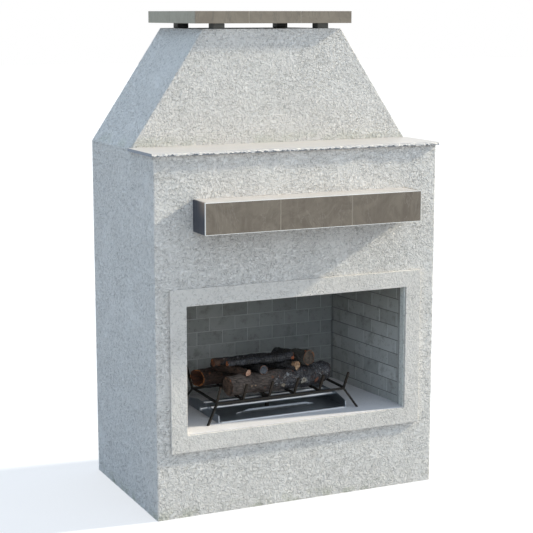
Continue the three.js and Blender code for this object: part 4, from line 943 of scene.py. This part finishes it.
# %% The brick-laying tree
def brick_tree():
    numbers = ("Length", "Height", "Thickness", "Seam", "First course", "Strip start", "Strip end")
    tree, given, made = new_tree("running_bond", "Geometry", {
        **dict.fromkeys(numbers, "Float"), "Seed": "Int", "Brick": "Object",
        "Brick finish": "Material", "Mortar finish": "Material",
    })
    length, height, thickness, seam, first, strip_start, strip_end = map(given.get, numbers)
    shortest = 0.012  # no brick is cut shorter or lower than this
    recess = 0.0022  # how far the mortar lies behind the bricks' faces

    def chance(low=0.0, high=1.0):
        node = put(tree, "FunctionNodeRandomValue", {"Seed": given["Seed"]}, data_type="FLOAT")
        for socket in (s for s in node.inputs if s.enabled and s.name in ("Min", "Max")):
            feed(socket, low if socket.name == "Min" else high)
        return next(Value(s) for s in node.outputs if s.enabled)

    def block(middle, width, depth, thick):
        """A plain block as high as the panel; middle and depth say where its centre is."""
        cube = put(tree, "GeometryNodeMeshCube", {"Size": combine(tree, width, thick, height)})
        place = combine(tree, middle, depth, height * 0.5)
        return put(tree, "GeometryNodeTransform", {"Geometry": cube, "Translation": place})

    columns, rows = 14, 12
    grid = put(tree, "GeometryNodeMeshGrid", {
        "Size X": brick_length * (columns - 1), "Size Y": course * (rows - 1),
        "Vertices X": columns, "Vertices Y": rows,
    })
    x, y, _ = Value(put(tree, "GeometryNodeInputPosition").outputs[0]).xyz()
    row = ((y + course * (rows - 1) / 2) / course).maths("ROUND")
    column = ((x + brick_length * (columns - 1) / 2) / brick_length).maths("ROUND")
    odd = row.maths("FLOORED_MODULO", 2.0)
    left = seam + (column + odd * 0.5) * brick_length - brick_length * 2
    low = first + (row - 1.0) * course
    x0 = left.maths("MAXIMUM", strip_start)
    x1 = (left + brick_length).maths("MINIMUM", length - strip_end)
    z0 = low.maths("MAXIMUM", 0.0)
    z1 = (low + course).maths("MINIMUM", height)
    wide, tall = x1 - x0, z1 - z0
    keep = wide.maths("GREATER_THAN", shortest) * tall.maths("GREATER_THAN", shortest)
    centre = combine(tree, (x0 + x1) * 0.5, chance(0.0, 0.0009), (z0 + z1) * 0.5)
    size = combine(tree, (wide - joint) / (brick_length - joint), 1.0,
                   (tall - joint) / (course - joint))
    held = put(tree, "GeometryNodeStoreNamedAttribute", {
        "Geometry": grid, "Name": "size", "Value": size,
    }, data_type="FLOAT_VECTOR", domain="POINT")
    points = put(tree, "GeometryNodeMeshToPoints", {
        "Mesh": held, "Selection": keep, "Position": centre,
    })
    brick = put(tree, "GeometryNodeObjectInfo", {"Object": given["Brick"]})
    laid = put(tree, "GeometryNodeInstanceOnPoints", {
        "Points": points, "Instance": brick.outputs["Geometry"],
        "Scale": stored(tree, "size", "FLOAT_VECTOR"),
    })
    toned = put(tree, "GeometryNodeStoreNamedAttribute", {
        "Geometry": laid, "Name": "tone", "Value": chance(),
    }, data_type="FLOAT", domain="INSTANCE")
    whole = put(tree, "GeometryNodeJoinGeometry")
    for width, middle in (
        (strip_start, strip_start * 0.5), (strip_end, length - strip_end * 0.5),
    ):
        plank = painted(tree, block(middle, width, 0.0034, 0.006), given["Brick finish"])
        wanted = put(tree, "GeometryNodeSwitch", {
            "Switch": width.maths("GREATER_THAN", 0.001), "True": plank,
        }, input_type="GEOMETRY")
        feed(whole.inputs[0], wanted)
    feed(whole.inputs[0], realised(tree, toned, given["Brick finish"]))
    back = thickness - recess
    bed = block(length * 0.5, length, back * 0.5 + recess, back)
    feed(whole.inputs[0], painted(tree, bed, given["Mortar finish"]))
    feed(made[0], whole)
    return tree


running_bond = brick_tree()
print("brick tree:", len(running_bond.nodes), "nodes")


# %% Three panels laid with bricks
def line_panel(node, start, end, seam, seed, mortar, **strips):
    """Lays bricks between two floor points of a panel's face, the room on its right-hand side."""
    node_low, node_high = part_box(node)
    start, end = Vector((*start, node_low.z)), Vector((*end, node_low.z))
    along = (end - start).normalized()
    piece = new_piece("bricks_" + node, [(0, 0, 0)])
    run_nodes(
        piece, running_bond, Length=(end - start).length, Height=node_high.z - node_low.z,
        Thickness=0.0345, Seam=seam, First_course=first_course, Seed=seed, Brick=one_brick,
        Brick_finish=fire_brick.material, Mortar_finish=mortar.material,
        **strips,
    )
    up = Vector((0, 0, 1))
    turn = Matrix((along, up.cross(along), up)).transposed().to_4x4()
    piece.data.transform(Matrix.Translation(start) @ turn)
    settle(piece, "fireplace", "fire_brick", node)


box_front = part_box("firebox_left")[0].y
box_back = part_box("firebox_back")[0].y
middle_x = (mouth[0][0] + mouth[1][0]) / 2
front_half = (liner_high.x - liner_low.x) / 2 - 0.003
back_half = front_half - 0.065  # the side panels stand closer together at the back
strip = 0.028  # the plain strip at the front edge of each side panel
tuck = 0.035  # how far the back panel reaches behind each side panel
back_start, back_end = middle_x - back_half - tuck, middle_x + back_half + tuck
line_panel("firebox_back", (back_start, box_back), (back_end, box_back),
           0.0275 - back_start - brick_length * 4, 1, back_mortar)
line_panel("firebox_left", (middle_x - front_half, box_front),
           (middle_x - back_half - 0.0001, box_back - gap), 0.04, 2, side_mortar,
           Strip_start=strip)
line_panel("firebox_right", (middle_x + back_half + 0.0001, box_back - gap),
           (middle_x + front_half, box_front), 0.02, 3, side_mortar, Strip_end=strip)
bpy.data.objects.remove(one_brick)
softened("firebox_lintel", 0.002, fire_brick, "fire_brick")
print("bricks laid on three panels")

# %% [markdown]
# ## Hearth
# The floor is a cast slab, trowelled smooth and a little blotchy. The shader needs only soft
# clouds and fine grain, with cloudy changes in the gloss.

# %% Hearth slab
hearth = mottled("cast_hearth", 0.7, 0.0, (7.0, 1.3), (220, 216, 217), (236, 231, 231),
                 240.0, 0.0008, 0.5, 0.5, (130, 128, 124))
hearth.set(Roughness=hearth.place.noise(12, 3).ramp(0.3, 0.7, 0.55, 0.8))
softened("hearth_slab", 0.0015, hearth, "hearth")
print("hearth is dressed")

# %% [markdown]
# ## Steel sheet, pipe and brass
# Four metals are on show near the fire and behind the rear door: galvanised sheet with its faint
# crystals, bright pan steel with drawn streaks, black gas pipe, and the brass of the valve.
# The pan's folded hem, its two corner lips and the long crease in its floor catch the light,
# so they are small bars of their own, each a few faces swept along the pan. Their steel adds a
# painted highlight to what they reflect: the hem and lips get a paler, less metallic copy of
# the pan steel, and the crease gets a copy coloured to the tone of its highlight.

# %% Galvanised sheet
galvanised = Finish("galvanised_sheet", roughness=0.42, metallic=0.9)
cells = galvanised.place.then("ShaderNodeTexVoronoi", {
    "Vector": galvanised.place, "Scale": 60.0,
}, output="Color")
spangle = cells.then("ShaderNodeSeparateColor", {0: cells})
galvanised.paint(spangle, (150, 154, 157), (186, 189, 191))
galvanised.set(Roughness=spangle.ramp(0, 1, 0.34, 0.52))
galvanised.bump(galvanised.place.noise(30, 2), 0.0006, 0.4)
dress(galvanised, "base_skid", "stud_frame", "smoke_dome", "flue_pipe")
print("galvanised sheet is dressed")

# %% The burner pan and its folded edges
drawn = (500.0, 0.01)  # fine streaks, much longer than they are wide
pan_steel = brushed_metal("drawn_pan_steel", 0.24, 1.0, drawn, (132, 141, 152), (186, 194, 204),
                          0.5)
pan_steel.paint(pan_steel.clouds(9.0, 1.5) * 0.4, (98, 104, 112))
pan_steel.set(Roughness=pan_steel.fibres.ramp(0.2, 0.8, 0.3, 0.44))
softened("burner_pan", 0.0006, pan_steel, "polished_pan")
# painted highlight: copies of the pan steel, paler for the hem and lips, and toned to its highlight
# for the crease
folded_edge_highlight = brushed_metal("folded_steel_edge", 0.4, 0.75, drawn, (168, 178, 190),
                            (208, 216, 226))
crease_highlight = brushed_metal("rolled_steel_crease", 0.4, 0.75, drawn, (120, 132, 146),
                              (160, 172, 186))


def prism(shell, start, end, section, taper=0.0, finish=0):
    """A bar along X with a section of y, z points; its ends thin out over the taper's share."""
    rings = []
    for t in sorted({0.0, taper, 1.0 - taper, 1.0}):
        size = 0.12 if taper and t in (0.0, 1.0) else 1.0
        x, y, z = (a + (b - a) * t for a, b in zip(start, end))
        rings.append([shell.verts.new((x, y + dy * size, z + dz * size)) for dy, dz in section])
    sides = [shell.faces.new(rings[0][::-1]), shell.faces.new(rings[-1])]
    for ring, following in zip(rings, rings[1:]):
        for i in range(len(section)):
            n = (i + 1) % len(section)
            sides.append(shell.faces.new((ring[i], ring[n], following[n], following[i])))
    for side in sides:
        side.material_index = finish


def make_pan_edges():
    low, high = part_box("burner_pan")
    shell = bmesh.new()
    hem = [(0, 0.0004), (0.0010, 0.0052), (0.0022, 0.0058), (0.0052, 0.0048), (0.0052, 0.0004)]
    hem_y = low.y - 0.0016
    prism(shell, (low.x + 0.012, hem_y, low.z), (high.x - 0.002, hem_y, low.z), hem, 0.02)
    ridge = [(0, 0.0008), (0.006, 0.0130), (0.009, 0.0145), (0.015, 0.0105), (0.020, 0.0008)]
    ridge_y, ridge_z = -0.149, low.z + 0.0006
    prism(shell, (-0.218, ridge_y, ridge_z), (0.207, ridge_y, ridge_z), ridge, 0.12, 1)
    for x, top in ((low.x - 0.0006, 0.041), (high.x - 0.0026, 0.037)):
        lip = [shell.verts.new((x + dx, low.y + dy, low.z + dz)) for dz in (0.001, top)
               for dx, dy in ((0, -0.0014), (0.0032, -0.0014), (0.0032, 0.003), (0, 0.003))]
        for i in range(4):
            n = (i + 1) % 4
            shell.faces.new((lip[i], lip[n], lip[n + 4], lip[i + 4]))
        shell.faces.new(lip[3::-1])
        shell.faces.new(lip[4:])
    bmesh.ops.recalc_face_normals(shell, faces=shell.faces)
    mesh = bpy.data.meshes.new("pan_folded_edges")
    close_mesh(shell, mesh)
    mesh.materials.append(folded_edge_highlight.material)
    mesh.materials.append(crease_highlight.material)
    settle(add("pan_folded_edges", mesh), "fireplace", "polished_pan")
    print("pan edges:", len(mesh.polygons), "faces")


make_pan_edges()

# %% Burner tubes, pipe, valve and lever
tube_steel = brushed_metal("burner_tube_steel", 0.3, 1.0, [600.0], (156, 166, 178),
                           (202, 211, 221))
heat = tube_steel.place.stretched(6, 2, 2).noise(2.0, 3)
tube_steel.paint(heat.ramp(0.5, 0.7, 0, 0.4), (150, 146, 142))
dress(tube_steel, "burner_tube_front", "burner_tube_rear")

pipe = mottled("black_gas_pipe", 0.55, 0.3, (16.0, 1.4), (28, 28, 27), (52, 50, 47),
               600.0, 0.0004, 0.6)
dress(pipe, "burner_manifold", "gas_inlet_pipe")

brass = mottled("valve_brass", 0.33, 1.0, (40.0, 1.4), (186, 148, 78), (142, 112, 62),
                900.0, 0.0002, 0.5)
softened("gas_valve", 0.0007, brass, "valve_brass", round_form=True)

lever_paint = Finish("lever_enamel", roughness=0.4)
chips = lever_paint.grain(220.0)[1]
lever_paint.paint(chips, (172, 44, 30), (110, 104, 98))
lever_paint.bump(chips, 0.0002, 0.6)
softened("gas_valve_lever", 0.0006, lever_paint, "lever_paint", "valve_lever")
print("metals are dressed")

# %% [markdown]
# ## Rear door
# The service door and its frame are brushed stainless. The louvres and the pull are in the solid
# already, so the copy only gets softened edges. The flange is held by pan-head screws,
# which a short Geometry Nodes tree places along the flange's edge from a row of points.

# %% Door and frame
stainless = brushed_metal("brushed_stainless", 0.34, 1.0, (1000.0, 0.015), (172, 174, 176),
                          (204, 206, 207), 0.5)
stainless.paint(stainless.clouds(5.0, 0.8) * 0.4, (160, 162, 163))
stainless.set(Roughness=stainless.fibres.ramp(0.2, 0.8, 0.28, 0.42))
softened("service_frame", 0.0005, stainless, "door_steel")
softened("service_door", 0.0005, stainless, "door_steel", "service_door")


print("door and frame are dressed")


# %% Screws in the flange
def screw_tree():
    tree, given, made = new_tree("screw_row", "Geometry", {
        "Head radius": "Float", "Head height": "Float", "Finish": "Material",
    })
    dome = put(tree, "GeometryNodeMeshUVSphere", {
        "Segments": 16, "Rings": 10, "Radius": given["Head radius"],
    })
    flat = combine(tree, 1.0, given["Head height"] / given["Head radius"], 1.0)
    points = put(tree, "GeometryNodeMeshToPoints", {"Mesh": given["Geometry"]})
    heads = put(tree, "GeometryNodeInstanceOnPoints", {
        "Points": points, "Instance": dome, "Scale": flat,
    })
    feed(made[0], realised(tree, heads, given["Finish"]))
    return tree


frame_low, frame_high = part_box("service_frame")
flange_y = back_high.y + 0.0028
edge = 0.0055  # the distance of the screws from the flange's edge
spots = []
for x in np.linspace(door_low.x + 0.03, frame_high.x - edge * 3, 4):
    spots += [(x, flange_y, frame_low.z + edge), (x, flange_y, frame_high.z - edge)]
for z in (frame_low.z + 0.06, frame_high.z - 0.06):
    spots.append((frame_high.x - edge * 1.6, flange_y, z))
screws = new_piece("flange_screws", spots)
run_nodes(screws, screw_tree(), Head_radius=0.0036, Head_height=0.002, Finish=stainless.material)
smooth(screws)
settle(screws, "fireplace", "door_steel")
print(len(spots), "screws")

# %% [markdown]
# ## Grate
# The grate is welded from 10 mm square bar and painted black, with a brown tint on the
# prongs, above the level of the bars. The bars get softened edges, and the finish mixes black
# with a little rust brown by clouds.

# %% Grate
iron = Finish("black_grate_iron", roughness=0.55, metallic=0.35)
iron.paint(iron.clouds(24.0, 1.6), (13, 12, 11), (30, 27, 23))
# a brown tint on the prongs, above the level of the bars
iron.paint(iron.place.xyz()[2].ramp(0.515, 0.545) * 0.7, (48, 39, 29))
grain, pits = iron.grain(420.0)
iron.paint(pits * 0.4, (84, 62, 40))
iron.bump(grain, 0.0006, 0.7)
softened("log_grate", 0.0012, iron, "grate_iron", "log_set")
print("grate is dressed")

# %% [markdown]
# ## Logs
# The logs are cast ceramic, painted to look like half-burnt wood. Each copy of a solid log is
# remeshed into small even faces, and a Geometry Nodes tree cuts bark into it. Bark
# follows the log and not the room, so every point first gets its place along and across its own
# log, stored with the mesh. Cracks come from the edges of stretched cells: long
# ones on bark, short cross cracks on charcoal. How far a log is burnt is stored too, and both
# the relief and the colours read it. A short table holds each log's colours and marks.


# %% Bark relief
def crack(place, scale, randomness, width):
    """0 on the edges between cells, rising to 1 over a width."""
    away = place.then("ShaderNodeTexVoronoi", {
        "Vector": place, "Scale": scale, "Randomness": randomness,
    }, output="Distance", feature="DISTANCE_TO_EDGE")
    return away.ramp(0.0, width)


def bark_height(place, char):
    """Bark from 0 in the cracks to 1 on the plates; char is 1 where the wood is charcoal."""
    long_cracks = crack(place.stretched(0.26, 1.0, 1.0), 70.0, 1.0, 0.15)
    cross_cracks = crack(place.stretched(1.5, 0.6, 0.6), 58.0, 0.9, 0.16)
    plates = long_cracks + char * (cross_cracks - long_cracks)
    fibres = place.stretched(0.12, 1.0, 1.0).noise(210.0, 3, 0.6)
    ribs = place.stretched(1.0, 0.2, 0.2).noise(80.0, 2, 0.6)
    weave = fibres + char * (ribs - fibres)
    return (plates * 0.36 + weave * 0.34 + place.noise(30.0, 4, 0.6, 0.4) * 0.46).clamped()


bark_tree = relief_tree("bark", lambda tree: bark_height(
    stored(tree, "grain", "FLOAT_VECTOR"), stored(tree, "char")))
print("bark tree:", len(bark_tree.nodes), "nodes")


# %% The finish of a log
def log_finish(name, look, shift):
    wood = Finish(name, roughness=0.86)
    raw, end, radial, char = (
        wood.own("grain", "Vector"), wood.own("end"), wood.own("radial"), wood.own("char"))
    place = raw.stretched(1, 1, 1, shift)
    height = bark_height(raw, char)
    patches = place.noise(15.0, 5, 0.7, 0.8).ramp(0.36, 0.64)
    wood.paint(char, patches.mix(*look["bark"]), patches.mix(*look["coal"]))
    # painted shade in the bark's cracks
    wood.paint(height.ramp(0.56, 0.28, 0, 0.8), (12, 10, 9))
    embers = place.noise(62.0, 4, 0.72, 0.8).ramp(0.70 - look["rust"], 0.77 - look["rust"])
    wood.paint(embers * place.noise(9.0, 2).ramp(0.42, 0.62, 0.1, 0.9), (132, 78, 52))
    # ash, partly real and partly painted sheen: pale flecks on the charcoal
    ash = place.stretched(0.6, 1.0, 1.0).noise(70.0, 5, 0.75, 1.4).ramp(
        0.64 - look["ash"], 0.70 - look["ash"])
    spread = place.noise(14.0, 2).ramp(0.40, 0.60)
    wood.paint(ash * spread * (char * (1.25 - char)), (206, 206, 204))
    face = place.noise(44.0, 5, 0.72).ramp(0.38, 0.62).mix(*look["face"])
    rings = (radial * 34.0).maths("SINE")
    face = rings.ramp(0.2, 1.0, 0, 0.22).mix(face, (36, 26, 20))
    rim = radial + (place.noise(30.0, 3) - 0.5) * 0.5
    shown = place.stretched(1, 1, 1, 7.0).noise(26.0, 3, 0.7).ramp(0.40, 0.54, 0.15, 1)
    wood.paint(end, (rim.ramp(0.80, 0.92) * shown).mix(face, look["rim"]))
    for centre, radius, shade in look.get("chips", ()):
        away = raw.then("ShaderNodeVectorMath", {
            0: raw, 1: tuple(v + shift * 3.0 for v in centre),
        }, output="Value", operation="DISTANCE")
        ragged = away + (place.noise(55.0, 4, 0.7) - 0.5) * (radius * 2.2)
        wood.paint(ragged.ramp(radius, radius * 0.55, 0, 0.85), shade)
    gloss = char * height.ramp(0.5, 0.8)
    wood.set(Roughness=gloss.ramp(0, 1, 0.86, 0.48))
    wood.bump(height + place.noise(320.0, 3, 0.6) * 0.25, 0.004)
    return wood


print("the logs' finish reads the points' own grain, end, radial and char")

# %% Where the logs lie: both ends of each axis, and the radius
log_axes = {
    "front_log": ((-0.301, -0.1818, 0.5732), (0.2663, -0.1818, 0.5792), 0.054),
    "back_log": ((-0.3741, 0.0464, 0.5682), (0.2251, 0.0464, 0.5682), 0.045),
    "left_branch": ((-0.1959, -0.2100, 0.6354), (-0.2850, 0.0289, 0.6397), 0.022),
    "middle_branch": ((-0.1128, -0.2100, 0.6432), (-0.1501, 0.0679, 0.6362), 0.025),
    "right_branch": ((0.0750, -0.2149, 0.6472), (-0.0869, 0.0386, 0.6362), 0.025),
    "upper_log": ((-0.3450, -0.0937, 0.6881), (0.0398, -0.1012, 0.6936), 0.025),
    "charred_log": ((-0.2999, -0.1662, 0.6852), (0.0750, -0.1538, 0.6852), 0.021),
    "stubby_log": ((0.1520, -0.1938, 0.6776), (0.0700, 0.0363, 0.6512), 0.041),
}
thick_log = 0.03  # a radius above this makes a log and not a branch
print("thick logs:", [name for name, axis in log_axes.items() if axis[2] > thick_log])

# %% How the logs look; chips are spots given by place along and across, size and colour
orange, tan = (158, 92, 54), (160, 132, 104)
coal = ((15, 15, 17), (38, 39, 44))
log_looks = {
    "front_log": dict(
        bark=((56, 49, 46), (96, 85, 78)), coal=((22, 22, 26), (58, 59, 65)),
        burnt=(0.36, 0.62), rust=0.09, ash=0.10, face=((66, 54, 48), (108, 86, 72)),
        rim=(84, 68, 60), chips=(
            ((0.402, -0.054, -0.004), 0.018, (172, 165, 152)),
            ((0.402, -0.055, -0.002), 0.009, (92, 72, 58)),
            ((0.288, -0.050, -0.020), 0.012, (150, 138, 122)),
            ((0.318, -0.042, 0.034), 0.011, (138, 139, 140)),
            ((0.234, -0.044, 0.032), 0.011, (112, 76, 58)),
            ((0.474, -0.053, -0.012), 0.016, (112, 70, 50)),
            ((0.112, -0.053, -0.001), 0.007, tan), ((0.132, -0.053, 0.000), 0.006, tan),
            ((0.004, -0.026, 0.034), 0.008, (168, 104, 70)),
            ((0.002, 0.020, 0.036), 0.007, (176, 116, 84)),
            ((0.002, -0.040, -0.016), 0.007, (160, 96, 66)),
            ((0.004, 0.012, -0.030), 0.006, (140, 86, 60)),
        )),
    "back_log": dict(
        bark=((36, 28, 26), (72, 56, 48)), coal=((20, 18, 18), (46, 38, 34)),
        burnt=(0.5, 0.9), rust=0.10, ash=0.0, face=((46, 26, 18), (96, 54, 32)),
        rim=(196, 124, 66), hollow=0.034, squat=(0.0, 1.0, 0.003)),
    "left_branch": dict(
        bark=((44, 33, 28), (92, 72, 60)), coal=coal, burnt=(0.3, 1.6), rust=0.12, ash=0.0,
        face=((180, 132, 108), (216, 178, 152)), rim=(150, 90, 62),
        chips=(((0.016, -0.012, -0.012), 0.010, orange),)),
    "middle_branch": dict(
        bark=((22, 20, 20), (48, 44, 43)), coal=coal, burnt=(-0.2, 0.3), rust=0.03, ash=0.02,
        face=((62, 66, 72), (96, 99, 104)), rim=(176, 116, 80)),
    "right_branch": dict(
        bark=((24, 22, 22), (46, 42, 42)), coal=coal, burnt=(-0.2, 0.2), rust=0.04, ash=0.06,
        face=((126, 94, 70), (196, 164, 130)), rim=(186, 130, 82),
        chips=(((0.010, 0.020, 0.012), 0.018, (146, 112, 82)),)),
    "upper_log": dict(
        bark=((58, 40, 32), (96, 72, 58)), coal=coal, burnt=(-0.02, 0.16), rust=0.05, ash=0.05,
        face=((76, 48, 36), (168, 104, 66)), rim=(92, 60, 42), squat=(-1.0, 0.74, 0.0),
        chips=(((0.024, -0.016, -0.012), 0.014, orange),)),
    "charred_log": dict(
        bark=((60, 44, 36), (90, 70, 58)), coal=((17, 18, 21), (50, 52, 59)),
        burnt=(-0.1, 0.08), rust=0.02, ash=0.06, face=((140, 78, 46), (190, 116, 72)),
        rim=orange, chips=(((0.368, -0.018, -0.004), 0.012, (170, 92, 52)),)),
    "stubby_log": dict(
        bark=((40, 39, 37), (80, 78, 72)), coal=coal, burnt=(0.1, 0.9), rust=0.07, ash=0.07,
        face=((50, 45, 41), (92, 80, 69)), rim=(124, 84, 58),
        chips=(((0.012, 0.010, 0.036), 0.011, (150, 88, 56)),)),
}
print("chips and marks:", sum(len(look.get("chips", ())) for look in log_looks.values()))


# %% Even copies of the solid logs
def eased(value, low, high):
    share = np.clip((value - low) / (high - low), 0, 1)
    return share * share * (3 - 2 * share)


def even_copy(name, radius):
    """A copy of a solid log, remeshed into small even faces."""
    mesh, shell = welded(name)
    close_mesh(shell, mesh)
    piece = add("cast_" + name, mesh)
    remesh = piece.modifiers.new("even_faces", "REMESH")
    remesh.mode = "VOXEL"
    remesh.voxel_size = 0.0032 if radius > thick_log else 0.0024
    relax = piece.modifiers.new("relax", "SMOOTH")
    relax.factor = 0.5
    relax.iterations = 2
    keep_result(piece)
    return piece


print("rise from 0 to 1 in quarters:", eased(np.linspace(0, 1, 5), 0, 1).round(3))


# %% Making the logs
def read(source, key):
    values = np.zeros(len(source) * 3)
    source.foreach_get(key, values)
    return values.reshape(-1, 3)


def make_log(name, seed):
    start, end, radius = log_axes[name]
    look = log_looks[name]
    start, end = np.array(start), np.array(end)
    length = np.linalg.norm(end - start)
    along = (end - start) / length
    across = np.cross([0, 0, 1], along)
    across /= np.linalg.norm(across)
    up = np.cross(along, across)
    piece = even_copy(name, radius)
    mesh = piece.data
    points, normals = read(mesh.vertices, "co"), read(mesh.vertices, "normal")
    grain = np.stack([(points - start) @ axis for axis in (along, across, up)], 1)
    s, y, z = grain.T
    around = np.arctan2(z, y)
    radial = np.hypot(y, z) / radius
    lean = normals @ along
    ends = eased(np.abs(lean), 0.45, 0.8) * (
        (s < radius * 0.9) & (lean < 0) | (s > length - radius * 0.9) & (lean > 0))
    sway = np.sin(s * 37 + seed) * np.sin(around + seed * 2)
    sway = sway + 0.6 * np.sin(s * 91 + around * 2 + seed * 5)
    sway = sway + 0.5 * np.sin(around * 3 + s * 23 + seed)
    push = sway * radius * (0.04 if radius > thick_log else 0.075) * (1 - ends)
    sideways = (normals - lean[:, None] * along) * push[:, None]
    rough = np.sin(around * 2 + seed) + 0.7 * np.sin(around * 5 + radial * 4 + seed * 3)
    dish = 0.0035 * (1 - eased(radial, 0.72, 0.95)) + 0.0012 * rough
    dish += look.get("hollow", 0) * (1 - eased(radial, 0.45, 0.78)) * (s < length / 2)
    inwards = (-np.sign(lean) * dish * ends)[:, None] * along
    side, share, lift = look.get("squat", (0.0, 1.0, 0.0))
    lower = ((side * radius + (z - side * radius) * share + lift) - z)[:, None] * up
    mesh.vertices.foreach_set("co", (points + sideways + inwards + lower).reshape(-1))
    mesh.update()
    wander = 0.07 * np.sin(around * 2 + seed) + 0.05 * np.sin(s * 70 + around * 3)
    for attribute, kind, key, values in (
        ("grain", "FLOAT_VECTOR", "vector", grain + seed * 3.0),
        ("radial", "FLOAT", "value", radial), ("end", "FLOAT", "value", ends),
        ("char", "FLOAT", "value", eased(s / length + wander, *look["burnt"])),
        ("skin", "FLOAT", "value", 1 - 0.6 * ends),
    ):
        data = mesh.attributes.new(attribute, kind, "POINT").data
        data.foreach_set(key, values.astype(np.float32).reshape(-1))
    wood = log_finish("cast_" + name, look, seed)
    run_nodes(piece, bark_tree, Depth=0.0075 if radius > thick_log else 0.0062, Rise=0.16,
              Material=wood.material)
    smooth(piece)
    loose = name in ("upper_log", "charred_log", "stubby_log")
    slot = "log_bark" if name in ("front_log", "back_log", "left_branch") else "log_char"
    return settle(piece, name if loose else "log_set", slot, name)


log_pieces = [make_log(name, seed) for seed, name in enumerate(log_axes, 1)]
print("logs:", sum(len(piece.data.polygons) for piece in log_pieces), "faces")

# %% [markdown]
# ## Floor and light
# The fireplace stands on a plain pale floor. The key lamp stands far to the right and only a
# little in front of the wall, so it rakes the stucco and throws long soft shadows to the left.
# Its direction was worked out from the edges of the shadows under the mantel, the cap and the
# ledge. A very broad, weak, warm lamp in front lifts the face and the firebox, and the world
# fills the rest of the shade with cool light. Seen by the camera and in reflections, the
# background is plain white.


# %% Floor
def looked_at(tree):
    """1 for what the camera sees, in reflections and through glass too."""
    rays = put(tree, "ShaderNodeLightPath").outputs
    camera, glossy, through = (
        Value(rays[f"Is {kind} Ray"]) for kind in ("Camera", "Glossy", "Transmission"))
    return camera.maths("MAXIMUM", glossy.maths("MAXIMUM", through))


floor_finish = Finish("studio_floor", roughness=0.9)
floor_finish.set(Base_Color=linear((158, 158, 160)))
tree = floor_finish.tree
glow = put(tree, "ShaderNodeEmission", {"Strength": looked_at(tree) * 0.6})
both = put(tree, "ShaderNodeAddShader", {0: floor_finish.shader, 1: glow})
feed(tree.nodes["Material Output"].inputs["Surface"], both)
far = 60
floor = new_piece("studio_floor", [
    (-far, -far, 0), (far, -far, 0), (far, far, 0), (-far, far, 0)], [(0, 1, 2, 3)])
floor.data.materials.append(floor_finish.material)
print("floor:", far * 2, "m wide")


# %% Lamp and world
def sun(name, energy, angle, colour, towards):
    """A lamp as far away as the sun, that stands towards a direction."""
    data = bpy.data.lights.new(name, "SUN")
    data.energy = energy
    data.angle = math.radians(angle)
    data.color = colour
    lamp = add(name, data)
    lamp.rotation_mode = "QUATERNION"
    lamp.rotation_quaternion = Vector(towards).to_track_quat("Z", "Y")
    print(name, "energy", energy)


sun("raking_key", 4.6, 2.5, (1.0, 0.94, 0.77), (0.858, -0.0986, 0.493))
sun("soft_front", 0.62, 90, (1.0, 0.82, 0.55), (0.2, -0.95, 0.12))

world = bpy.data.worlds.new("studio_world")
scene.world = world
world.use_nodes = True
tree = world.node_tree
tree.nodes.clear()
fill_strength = 0.96
fill = put(tree, "ShaderNodeBackground", {
    "Color": (0.60, 0.785, 1.0, 1), "Strength": fill_strength})
white = put(tree, "ShaderNodeBackground", {"Color": (1, 1, 1, 1), "Strength": 1.0})
choice = put(tree, "ShaderNodeMixShader", {0: looked_at(tree), 1: fill, 2: white})
put(tree, "ShaderNodeOutputWorld", {0: choice})
print("world fill", fill_strength)

# %% [markdown]
